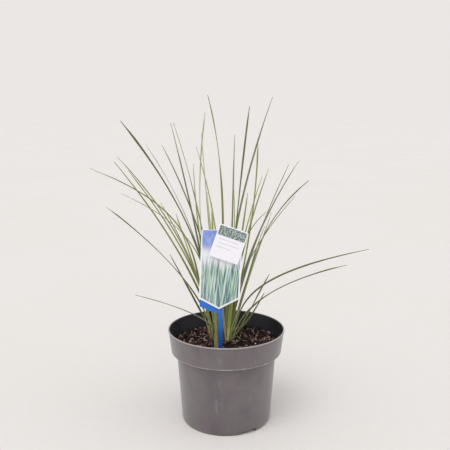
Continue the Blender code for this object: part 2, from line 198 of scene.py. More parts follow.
class ShaderEffects:
    """Shader node groups that several finishes share."""

    def __init__(self) -> None:
        """Build each group once."""
        self.streaks = self._build_streaks()
        self.mottle = self._build_mottle()
        self.specks = self._build_specks()

    def _build_streaks(self) -> bpy.types.NodeTree:
        """Fine lines that run along Y of the vector: veins, fibres and grain."""
        board = new_group("streaks", "ShaderNodeTree", [
            ("INPUT", "Vector", "NodeSocketVector", None),
            ("INPUT", "Across", "NodeSocketFloat", 8.0),
            ("INPUT", "Along", "NodeSocketFloat", 1.0),
            ("OUTPUT", "Tone", "NodeSocketFloat", None),
            ("OUTPUT", "Lines", "NodeSocketFloat", None),
        ])
        entry = board.node("NodeGroupInput")
        parts = board.node("ShaderNodeSeparateXYZ", {0: entry.outputs["Vector"]})
        x = board.math("MULTIPLY", parts.outputs[0], entry.outputs["Across"])
        y = board.math("MULTIPLY", parts.outputs[1], entry.outputs["Along"])
        stretched = board.node("ShaderNodeCombineXYZ", {0: x, 1: y, 2: parts.outputs[2]}).outputs[0]
        broad = board.noise(stretched, 1.0, 2.0)
        fine = board.noise(stretched, 3.7, 1.0)
        exit_node = board.node("NodeGroupOutput")
        board.feed(exit_node, "Tone", broad)
        board.feed(exit_node, "Lines", board.rise(fine, 0.35, 0.65))
        return board.tree

    def _build_mottle(self) -> bpy.types.NodeTree:
        """Soft patches over a fine grain, as a tone and as a height."""
        board = new_group("mottle", "ShaderNodeTree", [
            ("INPUT", "Vector", "NodeSocketVector", None),
            ("INPUT", "Patches", "NodeSocketFloat", 20.0),
            ("INPUT", "Grain", "NodeSocketFloat", 400.0),
            ("INPUT", "Grain Share", "NodeSocketFloat", 0.3),
            ("OUTPUT", "Tone", "NodeSocketFloat", None),
            ("OUTPUT", "Height", "NodeSocketFloat", None),
        ])
        entry = board.node("NodeGroupInput")
        patches = board.node("ShaderNodeTexNoise", {
            "Vector": entry.outputs["Vector"], "Scale": entry.outputs["Patches"], "Detail": 3.0,
        }).outputs[0]
        grain = board.node("ShaderNodeTexNoise", {
            "Vector": entry.outputs["Vector"], "Scale": entry.outputs["Grain"], "Detail": 1.0,
        }).outputs[0]
        share = entry.outputs["Grain Share"]
        rest = board.math("SUBTRACT", 1.0, share)
        tone = board.math("ADD", board.math("MULTIPLY", patches, rest), board.math("MULTIPLY", grain, share))
        exit_node = board.node("NodeGroupOutput")
        board.feed(exit_node, "Tone", tone)
        board.feed(exit_node, "Height", grain)
        return board.tree

    def _build_specks(self) -> bpy.types.NodeTree:
        """Scattered flecks of dust or grit, more of them on faces that look up."""
        board = new_group("specks", "ShaderNodeTree", [
            ("INPUT", "Vector", "NodeSocketVector", None),
            ("INPUT", "Scale", "NodeSocketFloat", 300.0),
            ("INPUT", "Cover", "NodeSocketFloat", 0.3),
            ("INPUT", "Upward Share", "NodeSocketFloat", 0.0),
            ("OUTPUT", "Mask", "NodeSocketFloat", None),
        ])
        entry = board.node("NodeGroupInput")
        fine = board.node("ShaderNodeTexNoise", {
            "Vector": entry.outputs["Vector"], "Scale": entry.outputs["Scale"], "Detail": 2.0,
        }).outputs[0]
        wide = board.noise(entry.outputs["Vector"], 18.0, 2.0)
        normal = board.node("ShaderNodeNewGeometry").outputs["Normal"]
        up = board.node("ShaderNodeSeparateXYZ", {0: normal}).outputs[2]
        up = board.math("MULTIPLY", board.math("MAXIMUM", up, 0.0), entry.outputs["Upward Share"])
        level = board.math("SUBTRACT", 0.82, board.math("MULTIPLY", entry.outputs["Cover"], wide))
        level = board.math("SUBTRACT", level, board.math("MULTIPLY", up, 0.2))
        mask = board.math("MULTIPLY", board.math("SUBTRACT", fine, level), 12.0, clamp=True)
        exit_node = board.node("NodeGroupOutput")
        board.feed(exit_node, "Mask", mask)
        return board.tree


EFFECTS = ShaderEffects()


class Finish:
    """Base of every finish: starts a material and joins its colour, roughness and relief."""

    def start(self, name: str) -> tuple[bpy.types.Material, Board, bpy.types.Node]:
        """Start a material.

        Args:
            name: Name of the material.

        Returns:
            The material, its board and its Principled shader.
        """
        material = bpy.data.materials.new(name)
        material.use_nodes = True
        board = Board(material.node_tree)
        return material, board, material.node_tree.nodes["Principled BSDF"]

    def relief(self, board: Board, shader: bpy.types.Node, height: object, depth: float) -> None:
        """Bump a shader's surface.

        Args:
            board: Board of the material.
            shader: Principled shader.
            height: Socket with the height, 0 to 1.
            depth: Depth of the relief in metres.
        """
        bump = board.node("ShaderNodeBump", {"Strength": 1.0, "Distance": depth, "Height": height})
        board.feed(shader, "Normal", bump.outputs[0])


@dataclass(frozen=True)
class PotPlastic(Finish):
    """Recycled plastic of the pot, with scuffs and dust, painted highlights on the lip and the collar's lower edge,
    and painted shade under the lip and towards the foot.
    """

    name: str
    deep: Colour
    pale: Colour
    blush: Colour
    # Painted shade towards the foot, at the foot's edge and under the lip.
    shade: Colour
    # Colour of the scuffs and of the painted highlights on the lip and the collar's edge.
    edge: Colour
    # Painted glints along the collar's lower edge.
    collar_glint: Colour
    dust: Colour
    roughness: float
    dust_cover: float
    sheen: float

    def material(self, lip_z: float, collar_z: float) -> bpy.types.Material:
        """Build the material.

        Args:
            lip_z: Height where the lip starts.
            collar_z: Height of the collar's lower edge.

        Returns:
            The material.
        """
        material, board, shader = self.start(self.name)
        place = board.place()
        height = board.node("ShaderNodeSeparateXYZ", {0: place}).outputs[2]
        mottle = board.group(EFFECTS.mottle, Vector=place, Patches=26.0, Grain=900.0, Grain_Share=0.35)
        tone = board.rise(mottle.outputs["Tone"], 0.3, 0.7)
        colour = board.mix(tone, self.deep, self.pale)
        bands = board.noise(board.scaled(place, (1.0, 1.0, 0.12)), 52.0, 2.0)
        colour = board.mix(board.rise(bands, 0.42, 0.62, 0.0, 0.5), colour, self.blush)
        # Painted shade: darker towards the foot, darkest in the lowest 2.6 mm as a painted contact shadow.
        foot = board.rise(height, 4 * MM, 110 * MM, 0.16, 0.0)
        colour = board.mix(foot, colour, self.shade)
        colour = board.mix(board.rise(height, 0.5 * MM, 2.6 * MM, 0.6, 0.0), colour, self.shade)
        scuff_place = board.scaled(place, (1.0, 1.0, 0.25))
        scuff = board.rise(board.noise(scuff_place, 90.0, 3.0, 0.6), 0.6, 0.75)
        colour = board.mix(board.math("MULTIPLY", scuff, 0.12), colour, self.edge)
        # Painted highlight on the top of the lip.
        lip = board.rise(height, lip_z + 1.4 * MM, lip_z + 2.8 * MM)
        # Painted shadow in a thin band just under the lip.
        lip_shadow = self.band(board, height, lip_z - 0.5 * MM, 0.7 * MM)
        # Painted highlight along the collar's lower edge, faint in places, with bright broken glints.
        line = self.band(board, height, collar_z + 0.1 * MM, 0.7 * MM)
        faint = board.rise(board.noise(place, 35.0, 3.0), 0.3, 0.6, 0.3, 0.85)
        bright = board.rise(board.noise(place, 130.0, 2.0), 0.5, 0.58)
        bright = board.math("MULTIPLY", bright, board.rise(board.noise(place, 14.0, 1.0), 0.42, 0.58))
        colour = board.mix(board.math("MULTIPLY", lip_shadow, 0.4), colour, self.shade)
        colour = board.mix(board.math("MULTIPLY", lip, 0.6), colour, self.edge)
        colour = board.mix(board.math("MULTIPLY", line, faint), colour, self.edge)
        colour = board.mix(board.math("MULTIPLY", line, bright), colour, self.collar_glint)
        dust = board.group(
            EFFECTS.specks, Vector=place, Scale=420.0, Cover=self.dust_cover, Upward_Share=0.5
        ).outputs["Mask"]
        colour = board.mix(board.math("MULTIPLY", dust, 0.6), colour, self.dust)
        board.feed(shader, "Base Color", colour)
        rough = board.rise(mottle.outputs["Tone"], 0.3, 0.7, self.roughness - 0.07, self.roughness + 0.07)
        board.feed(shader, "Roughness", board.math("ADD", rough, board.math("MULTIPLY", dust, 0.3), True))
        shader.inputs["Specular IOR Level"].default_value = 0.6
        shader.inputs["Sheen Weight"].default_value = self.sheen
        rings = board.noise(board.scaled(place, (0.02, 0.02, 1.0)), 2200.0, 1.0)
        relief = board.math("ADD", mottle.outputs["Height"], board.math("MULTIPLY", rings, 0.6))
        self.relief(board, shader, relief, 0.05 * MM)
        return material

    def band(self, board: Board, height: object, middle: float, half: float) -> object:
        """Return a mask that is 1 at one height and fades out above and below it.

        Args:
            board: Board of the material.
            height: Socket with the height above the floor.
            middle: Height of the band.
            half: How far above and below the band has faded out.

        Returns:
            The mask's socket.
        """
        lower = board.rise(height, middle - half, middle - half * 0.3)
        upper = board.rise(height, middle + half * 0.3, middle + half, 1.0, 0.0)
        return board.math("MULTIPLY", lower, upper)


@dataclass(frozen=True)
class PottingMix(Finish):
    """Dark, damp potting mix between the bark chips."""

    name: str = "potting_mix"
    wet: Colour = tint(12, 9, 9)
    damp: Colour = tint(34, 23, 20)
    dry: Colour = tint(74, 50, 41)

    def material(self) -> bpy.types.Material:
        """Build the material."""
        material, board, shader = self.start(self.name)
        place = board.place()
        mottle = board.group(EFFECTS.mottle, Vector=place, Patches=60.0, Grain=650.0, Grain_Share=0.6)
        tone = mottle.outputs["Tone"]
        stops = [(0.34, self.wet), (0.5, self.damp), (0.66, self.dry)]
        board.feed(shader, "Base Color", board.ramp(tone, stops))
        board.feed(shader, "Roughness", board.rise(tone, 0.3, 0.6, 0.72, 0.95))
        shader.inputs["Specular IOR Level"].default_value = 0.12
        self.relief(board, shader, mottle.outputs["Height"], 0.5 * MM)
        return material


@dataclass(frozen=True)
class GrainFinish(Finish):
    """Bark, crumbs or perlite: each grain takes its own tone, with fibres along it."""

    name: str
    dark: Colour
    middle: Colour
    light: Colour
    roughness: float
    grain: float = 500.0
    depth: float = 0.2 * MM

    def material(self) -> bpy.types.Material:
        """Build the material."""
        material, board, shader = self.start(self.name)
        place = board.place()
        own = board.attribute("tone")
        lines = board.group(EFFECTS.streaks, Vector=place, Across=self.grain, Along=self.grain / 4)
        mottle = board.group(EFFECTS.mottle, Vector=place, Patches=self.grain / 4, Grain=self.grain)
        drift = board.math("MULTIPLY", board.math("SUBTRACT", mottle.outputs["Tone"], 0.5), 0.9)
        tone = board.math("ADD", own, drift, clamp=True)
        stops = [(0.2, self.dark), (0.6, self.middle), (0.92, self.light)]
        colour = board.ramp(tone, stops)
        shade = board.rise(lines.outputs["Lines"], 0.0, 1.0, 0.0, 0.3)
        colour = board.mix(shade, colour, self.dark)
        board.feed(shader, "Base Color", colour)
        board.feed(shader, "Roughness", board.rise(tone, 0.0, 1.0, self.roughness - 0.08, self.roughness))
        shader.inputs["Specular IOR Level"].default_value = 0.2
        self.relief(board, shader, lines.outputs["Tone"], self.depth)
        return material


@dataclass(frozen=True)
class BladeFinish(Finish):
    """A strap leaf: pale at the base, green along the blade, with veins, a rim and a dry tip."""

    name: str
    base: Colour
    low: Colour
    blade: Colour
    high: Colour
    rim: Colour
    vein_and_shade: Colour
    tip: Colour
    root: Colour = tint(98, 84, 64)
    tip_start: float = 0.988
    base_share: float = 0.24
    roughness: float = 0.5

    def material(self) -> bpy.types.Material:
        """Build the material from the blade's own attributes: along, across and tone."""
        material, board, shader = self.start(self.name)
        along = board.attribute("along")
        across = board.attribute("across")
        own = board.attribute("tone")
        surface = board.node("ShaderNodeCombineXYZ", {0: across, 1: along, 2: own}).outputs[0]
        patches = board.noise(board.scaled(surface, (1.0, 9.0, 40.0)), 1.0, 3.0)
        shifted = board.math("ADD", along, board.math("MULTIPLY", board.math("SUBTRACT", patches, 0.5), 0.12))
        share = self.base_share
        stops = [(0.0, self.base), (share * 0.45, self.low), (share, self.blade), (0.85, self.high)]
        colour = board.ramp(shifted, stops)
        foot = board.rise(along, 0.04, share * 1.6, 1.0, 0.0)
        # Partly random tone, partly painted shade: each leaf darkens towards its foot by its own tone, for the shade
        # in the crowded tuft.
        shaded = board.math("MULTIPLY", board.rise(own, 0.1, 0.8, 0.0, 0.62), foot)
        colour = board.mix(shaded, colour, self.vein_and_shade)
        veins = board.group(EFFECTS.streaks, Vector=surface, Across=7.0, Along=3.0)
        colour = board.mix(board.rise(veins.outputs["Lines"], 0.0, 1.0, 0.0, 0.45), colour, self.vein_and_shade)
        # The pale rim is the leaf's own lighter margin; towards the foot it grows wider and stronger, a painted
        # highlight on the lit edges of the channelled blade. The keel adds a pale midline, stronger towards the foot.
        side = board.math("ABSOLUTE", across)
        margin = board.math("ADD", side, board.math("MULTIPLY", foot, 0.16))
        strength = board.math("ADD", 0.62, board.math("MULTIPLY", foot, 0.36))
        rim = board.math("MULTIPLY", board.rise(margin, 0.64, 0.9), strength)
        depth = board.math("ADD", 0.14, board.math("MULTIPLY", foot, 0.5))
        keel = board.math("MULTIPLY", board.rise(side, 0.1, 0.42, 1.0, 0.0), depth)
        colour = board.mix(board.math("MAXIMUM", rim, keel), colour, self.rim)
        deeper = board.rise(patches, 0.3, 0.7, 0.3, 0.0)
        colour = board.mix(deeper, colour, self.vein_and_shade)
        colour = board.mix(board.rise(along, 0.012, 0.06, 0.95, 0.0), colour, self.root)
        start = board.math("ADD", self.tip_start, board.math("MULTIPLY", own, -0.02))
        dry = board.math("MULTIPLY", board.math("SUBTRACT", along, start), 90.0, clamp=True)
        colour = board.mix(dry, colour, self.tip)
        board.feed(shader, "Base Color", colour)
        low, high = self.roughness - 0.08, self.roughness + 0.1
        board.feed(shader, "Roughness", board.rise(veins.outputs["Tone"], 0.3, 0.7, low, high))
        shader.inputs["Specular IOR Level"].default_value = 0.4
        self.relief(board, shader, veins.outputs["Lines"], 0.06 * MM)
        return material


@dataclass(frozen=True)
class FibreFinish(Finish):
    """The matted, half rotten base of the tuft."""

    name: str
    dark: Colour
    middle: Colour
    light: Colour

    def material(self) -> bpy.types.Material:
        """Build the material."""
        material, board, shader = self.start(self.name)
        place = board.place()
        upright = board.node("ShaderNodeSeparateXYZ", {0: place})
        turned = board.node("ShaderNodeCombineXYZ", {
            0: upright.outputs[0], 1: upright.outputs[2], 2: upright.outputs[1],
        }).outputs[0]
        stretched = board.scaled(turned, (1.0, 1.0, 900.0))
        lines = board.group(EFFECTS.streaks, Vector=stretched, Across=900.0, Along=110.0)
        stops = [(0.35, self.dark), (0.52, self.middle), (0.7, self.light)]
        board.feed(shader, "Base Color", board.ramp(lines.outputs["Tone"], stops))
        board.feed(shader, "Roughness", board.rise(lines.outputs["Lines"], 0.0, 1.0, 0.78, 0.92))
        self.relief(board, shader, lines.outputs["Tone"], 0.8 * MM)
        return material


@dataclass(frozen=True)
class StakePlastic(Finish):
    """Blue plastic of the stake, darker towards the soil and flecked with dirt near it."""

    name: str = "stake_plastic"
    bright: Colour = tint(38, 116, 214)
    deep: Colour = tint(24, 84, 172)
    dirt: Colour = tint(70, 60, 60)
    soil_z: float = 0.156

    def material(self) -> bpy.types.Material:
        """Build the material."""
        material, board, shader = self.start(self.name)
        place = board.place()
        height = board.node("ShaderNodeSeparateXYZ", {0: place}).outputs[2]
        colour = board.mix(board.rise(height, self.soil_z, self.soil_z + 55 * MM), self.deep, self.bright)
        mottle = board.group(EFFECTS.mottle, Vector=place, Patches=45.0, Grain=700.0, Grain_Share=0.2)
        colour = board.mix(board.rise(mottle.outputs["Tone"], 0.35, 0.65, 0.18, 0.0), colour, self.deep)
        near = board.rise(height, self.soil_z, self.soil_z + 25 * MM, 0.75, 0.15)
        specks = board.group(EFFECTS.specks, Vector=place, Scale=350.0, Cover=0.5).outputs["Mask"]
        colour = board.mix(board.math("MULTIPLY", specks, near), colour, self.dirt)
        board.feed(shader, "Base Color", colour)
        board.feed(shader, "Roughness", board.rise(mottle.outputs["Tone"], 0.3, 0.7, 0.3, 0.42))
        self.relief(board, shader, mottle.outputs["Height"], 0.03 * MM)
        return material


@dataclass(frozen=True)
class PlainCard(Finish):
    """White coated card: borders, edges and backs."""

    name: str = "white_card"
    white: Colour = tint(250, 249, 252)
    shade: Colour = tint(242, 242, 248)

    def material(self) -> bpy.types.Material:
        """Build the material."""
        material, board, shader = self.start(self.name)
        mottle = board.group(EFFECTS.mottle, Vector=board.place(), Patches=30.0, Grain=1500.0)
        tone = mottle.outputs["Tone"]
        board.feed(shader, "Base Color", board.mix(board.rise(tone, 0.35, 0.65), self.white, self.shade))
        board.feed(shader, "Roughness", board.rise(tone, 0.3, 0.7, 0.32, 0.44))
        self.relief(board, shader, mottle.outputs["Height"], 0.01 * MM)
        return material


@dataclass(frozen=True)
class PlantPrint(Finish):
    """The big card's print: a sky that fades to white over upright blades of sage and teal."""

    name: str = "plant_print"
    sky: Colour = tint(158, 178, 230)
    sky_deep: Colour = tint(118, 142, 214)
    mist: Colour = tint(236, 238, 244)
    sage: Colour = tint(165, 196, 172)
    teal: Colour = tint(96, 128, 138)
    ink: Colour = tint(62, 84, 104)
    bright: Colour = tint(222, 232, 232)
    mist_v: float = 0.62
    sky_v: float = 0.84

    def material(self) -> bpy.types.Material:
        """Build the material from the card's own map: u across and v up, both 0 to 1."""
        material, board, shader = self.start(self.name)
        card = board.node("ShaderNodeUVMap", uv_map="print").outputs[0]
        height = board.node("ShaderNodeSeparateXYZ", {0: card}).outputs[1]
        leaning, crossing, arching = (
            board.group(EFFECTS.streaks, Vector=board.scaled(card, (1.0, 1.0, 1.0), lean), Across=across, Along=along)
            for lean, across, along in ((0.16, 22.0, 2.0), (-0.3, 34.0, 1.8), (0.42, 30.0, 1.5))
        )
        stops = [(0.3, self.ink), (0.42, self.teal), (0.53, self.sage), (0.66, self.bright)]
        colour = board.ramp(leaning.outputs["Tone"], stops)
        for layer, low, share in ((crossing, 0.6, 0.85), (arching, 0.62, 0.75)):
            blades = board.rise(layer.outputs["Tone"], low, low + 0.035, 0.0, share)
            colour = board.mix(blades, colour, self.bright)
            shadow = board.rise(layer.outputs["Tone"], 0.32, 0.38, 0.6, 0.0)
            colour = board.mix(shadow, colour, self.ink)
        ragged = board.math("ADD", height, board.math("MULTIPLY", board.math("SUBTRACT", leaning.outputs["Tone"], 0.5), 0.3))
        colour = board.mix(board.rise(ragged, self.mist_v - 0.16, self.mist_v + 0.06), colour, self.mist)
        cloud = board.noise(card, 5.0, 3.0)
        blue = board.mix(board.rise(cloud, 0.35, 0.65), self.sky_deep, self.sky)
        colour = board.mix(board.rise(height, self.mist_v + 0.08, self.sky_v), colour, blue)
        board.feed(shader, "Base Color", colour)
        board.feed(shader, "Roughness", board.rise(cloud, 0.3, 0.7, 0.28, 0.36))
        return material


@dataclass(frozen=True)
class SmallPrint(Finish):
    """The small card's print: a speckled grey-green band over a white field with plain rules."""

    name: str = "small_card_print"
    white: Colour = tint(242, 240, 247)
    leaf_dark: Colour = tint(58, 78, 78)
    leaf_mid: Colour = tint(118, 138, 124)
    leaf_pale: Colour = tint(214, 218, 226)
    rule: Colour = tint(206, 190, 208)
    band_foot: float = 0.68
    rules: tuple[tuple[float, float, float], ...] = (
        (0.58, 0.14, 0.80),
        (0.46, 0.14, 0.86),
        (0.34, 0.14, 0.62),
    )
    rule_half: float = 0.014

    def material(self) -> bpy.types.Material:
        """Build the material from the card's own map: u across and v up, both 0 to 1."""
        material, board, shader = self.start(self.name)
        card = board.node("ShaderNodeUVMap", uv_map="print").outputs[0]
        parts = board.node("ShaderNodeSeparateXYZ", {0: card})
        across, height = parts.outputs[0], parts.outputs[1]
        speckle = board.noise(card, 19.0, 4.0, 0.7)
        stops = [(0.38, self.leaf_dark), (0.5, self.leaf_mid), (0.62, self.leaf_pale)]
        band = board.ramp(speckle, stops)
        colour = self.white
        for level, start, end in self.rules:
            off = board.math("ABSOLUTE", board.math("SUBTRACT", height, level))
            row = board.rise(off, self.rule_half * 0.6, self.rule_half * 1.4, 1.0, 0.0)
            span = board.math("MULTIPLY", board.rise(across, start - 0.01, start), board.rise(across, end, end + 0.01, 1.0, 0.0))
            colour = board.mix(board.math("MULTIPLY", board.math("MULTIPLY", row, span), 0.6), colour, self.rule)
        colour = board.mix(board.rise(height, self.band_foot - 0.01, self.band_foot + 0.01), colour, band)
        board.feed(shader, "Base Color", colour)
        board.feed(shader, "Roughness", board.rise(speckle, 0.3, 0.7, 0.3, 0.4))
        return material


@dataclass(frozen=True)
class StudioFloor(Finish):
    """A pale, faintly uneven painted floor."""

    name: str = "studio_floor"
    pale: Colour = tint(233, 229, 226)
    warm: Colour = tint(231, 227, 223)

    def material(self) -> bpy.types.Material:
        """Build the material."""
        material, board, shader = self.start(self.name)
        mottle = board.group(EFFECTS.mottle, Vector=board.place(), Patches=1.2, Grain=45.0, Grain_Share=0.3)
        tone = mottle.outputs["Tone"]
        board.feed(shader, "Base Color", board.mix(board.rise(tone, 0.35, 0.65), self.pale, self.warm))
        board.feed(shader, "Roughness", board.rise(tone, 0.3, 0.7, 0.7, 0.85))
        return material


def add_piece(name: str, mesh: bpy.types.Mesh, slot: str, *nodes: str) -> bpy.types.Object:
    """Show a finished mesh as a piece of the object.

    Args:
        name: Name of the piece.
        mesh: Its mesh, in place.
        slot: Material slot of the record. Not used.
        *nodes: CAD nodes that it stands for.

    Returns:
        The piece.
    """
    mesh.name = name
    piece = bpy.data.objects.new(name, mesh)
    bpy.context.scene.collection.objects.link(piece)
    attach(piece, BODY)
    if nodes:
        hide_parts(*nodes)
    LOG.info("%s: %d faces", name, len(mesh.polygons))
    return piece


def run_tree(tree: bpy.types.NodeTree, guide: bpy.types.Mesh, values: dict[str, object]) -> bpy.types.Mesh:
    """Run a geometry tree on a guide mesh.

    Args:
        tree: Geometry node tree.
        guide: Mesh that the tree starts from. It is removed afterwards.
        values: Values of the tree's inputs, by name.

    Returns:
        The result as a plain mesh.
    """
    carrier = bpy.data.objects.new("guide", guide)
    bpy.context.scene.collection.objects.link(carrier)
    modifier = carrier.modifiers.new(tree.name, "NODES")
    modifier.node_group = tree
    for item in tree.interface.items_tree:
        if item.item_type == "SOCKET" and item.in_out == "INPUT" and item.name in values:
            modifier[item.identifier] = values[item.name]
    graph = bpy.context.evaluated_depsgraph_get()
    mesh = bpy.data.meshes.new_from_object(carrier.evaluated_get(graph))
    carrier.modifiers.remove(modifier)
    bpy.data.objects.remove(carrier)
    bpy.data.meshes.remove(guide)
    return mesh


class GeometryTrees:
    """Geometry node trees for what repeats or follows a path."""

    def __init__(self) -> None:
        """Build each tree once."""
        self.strap = self._build_strap()
        self.grains = self._build_grains()
        self.fibres = self._build_fibres()

    def _build_strap(self) -> bpy.types.NodeTree:
        """Sweep a channelled strap along every line of a guide.

        The guide's points carry half_width, side, along and tone, and the swept mesh keeps them with
        across, which runs from -1 to 1 over the width.
        """
        board = new_group("strap_leaf", "GeometryNodeTree", [
            ("INPUT", "Geometry", "NodeSocketGeometry", None),
            ("INPUT", "Thickness", "NodeSocketFloat", 0.2),
            ("INPUT", "Channel", "NodeSocketFloat", 0.3),
            ("INPUT", "Sides", "NodeSocketInt", 12),
            ("INPUT", "Material", "NodeSocketMaterial", None),
            ("OUTPUT", "Geometry", "NodeSocketGeometry", None),
        ])
        entry = board.node("NodeGroupInput")
        curve = board.node("GeometryNodeMeshToCurve", {"Mesh": entry.outputs["Geometry"]}).outputs[0]
        side = board.node("GeometryNodeInputNamedAttribute", {"Name": "side"}, data_type="FLOAT_VECTOR")
        curve = board.node(
            "GeometryNodeSetCurveNormal", {"Curve": curve, "Normal": side.outputs[0]}, mode="FREE"
        ).outputs[0]
        width = board.node("GeometryNodeInputNamedAttribute", {"Name": "half_width"}, data_type="FLOAT")
        circle = board.node("GeometryNodeCurvePrimitiveCircle", {"Resolution": entry.outputs["Sides"], "Radius": 1.0})
        corner = board.node("ShaderNodeSeparateXYZ", {0: board.node("GeometryNodeInputPosition").outputs[0]})
        across, depth = corner.outputs[0], corner.outputs[1]
        depth = board.math("MULTIPLY", depth, entry.outputs["Thickness"])
        dip = board.math("MULTIPLY", board.math("MULTIPLY", across, across), entry.outputs["Channel"])
        depth = board.math("ADD", depth, dip)
        bent = board.node("ShaderNodeCombineXYZ", {0: across, 1: depth}).outputs[0]
        profile = board.node("GeometryNodeStoreNamedAttribute", {
            "Geometry": circle.outputs[0], "Name": "across", "Value": across,
        }, data_type="FLOAT", domain="POINT").outputs[0]
        profile = board.node("GeometryNodeSetPosition", {"Geometry": profile, "Position": bent}).outputs[0]
        swept = board.node("GeometryNodeCurveToMesh", {
            "Curve": curve, "Profile Curve": profile, "Scale": width.outputs[0], "Fill Caps": True,
        }).outputs[0]
        swept = board.node("GeometryNodeSetShadeSmooth", {"Geometry": swept}).outputs[0]
        self._finish(board, swept, entry)
        return board.tree

    def _build_grains(self) -> bpy.types.NodeTree:
        """Scatter rough grains over the guide's faces, each bent out of shape in its own way."""
        board = new_group("grain_scatter", "GeometryNodeTree", [
            ("INPUT", "Geometry", "NodeSocketGeometry", None),
            ("INPUT", "Density", "NodeSocketFloat", 5000.0),
            ("INPUT", "Clumps", "NodeSocketFloat", 60.0),
            ("INPUT", "Smallest", "NodeSocketVector", (0.001, 0.001, 0.001)),
            ("INPUT", "Largest", "NodeSocketVector", (0.003, 0.003, 0.003)),
            ("INPUT", "Tilt", "NodeSocketFloat", 0.5),
            ("INPUT", "Ruggedness", "NodeSocketFloat", 0.001),
            ("INPUT", "Detail", "NodeSocketInt", 1),
            ("INPUT", "Seed", "NodeSocketInt", 0),
            ("INPUT", "Material", "NodeSocketMaterial", None),
            ("OUTPUT", "Geometry", "NodeSocketGeometry", None),
        ])
        entry = board.node("NodeGroupInput")
        seed = entry.outputs["Seed"]
        points = board.node("GeometryNodeDistributePointsOnFaces", {
            "Mesh": entry.outputs["Geometry"], "Density": self._density(board, entry), "Seed": seed,
        }).outputs[0]
        tone = board.node("FunctionNodeRandomValue", {"Min": 0.0, "Max": 1.0, "Seed": seed}, data_type="FLOAT")
        points = board.node("GeometryNodeStoreNamedAttribute", {
            "Geometry": points, "Name": "tone", "Value": next(o for o in tone.outputs if o.enabled),
        }, data_type="FLOAT", domain="POINT").outputs[0]
        size = board.node("FunctionNodeRandomValue", {
            "Min": entry.outputs["Smallest"], "Max": entry.outputs["Largest"],
            "Seed": board.math("ADD", seed, 7.0),
        }, data_type="FLOAT_VECTOR")
        tilt = entry.outputs["Tilt"]
        low = board.node("ShaderNodeCombineXYZ", {0: board.math("MULTIPLY", tilt, -1.0), 1: board.math("MULTIPLY", tilt, -1.0)})
        high = board.node("ShaderNodeCombineXYZ", {0: tilt, 1: tilt, 2: math.tau})
        turn = board.node("FunctionNodeRandomValue", {
            "Min": low.outputs[0], "Max": high.outputs[0], "Seed": board.math("ADD", seed, 13.0),
        }, data_type="FLOAT_VECTOR")
        ball = board.node("GeometryNodeMeshIcoSphere", {"Radius": 1.0, "Subdivisions": entry.outputs["Detail"]})
        instances = board.node("GeometryNodeInstanceOnPoints", {
            "Points": points, "Instance": ball.outputs[0],
            "Rotation": next(o for o in turn.outputs if o.enabled),
            "Scale": next(o for o in size.outputs if o.enabled),
        }).outputs[0]
        solid = board.node("GeometryNodeRealizeInstances", {"Geometry": instances}).outputs[0]
        solid = board.node("GeometryNodeSetPosition", {
            "Geometry": solid, "Offset": self._shake(board, 520.0, entry.outputs["Ruggedness"]),
        }).outputs[0]
        self._finish(board, solid, entry)
        return board.tree

    def _density(self, board: Board, entry: bpy.types.Node) -> bpy.types.NodeSocket:
        """Return the density of a scatter, gathered in clumps and shared out by the guide.

        Args:
            board: Board of the tree.
            entry: The tree's input node, which has Density and Clumps.

        Returns:
            The density's socket.
        """
        where = board.node("GeometryNodeInputPosition").outputs[0]
        clumps = board.rise(board.noise(where, entry.outputs["Clumps"], 1.0), 0.4, 0.6, 0.12, 1.9)
        share = board.node("GeometryNodeInputNamedAttribute", {"Name": "share"}, data_type="FLOAT").outputs[0]
        return board.math("MULTIPLY", board.math("MULTIPLY", entry.outputs["Density"], share), clumps)

    def _shake(self, board: Board, scale: float, depth: object) -> bpy.types.NodeSocket:
        """Return an offset that pushes points about at random.

        Args:
            board: Board of the tree.
            scale: How fine the push is, as the scale of a noise.
            depth: How far it pushes, a value or a socket.

        Returns:
            The offset's socket.
        """
        where = board.node("GeometryNodeInputPosition").outputs[0]
        push = board.node("ShaderNodeTexNoise", {"Vector": where, "Scale": scale, "Detail": 1.0}).outputs[1]
        centred = board.node("ShaderNodeVectorMath", {0: push, 1: (0.5, 0.5, 0.5)}, operation="SUBTRACT").outputs[0]
        return board.node("ShaderNodeVectorMath", {0: centred, "Scale": depth}, operation="SCALE").outputs[0]

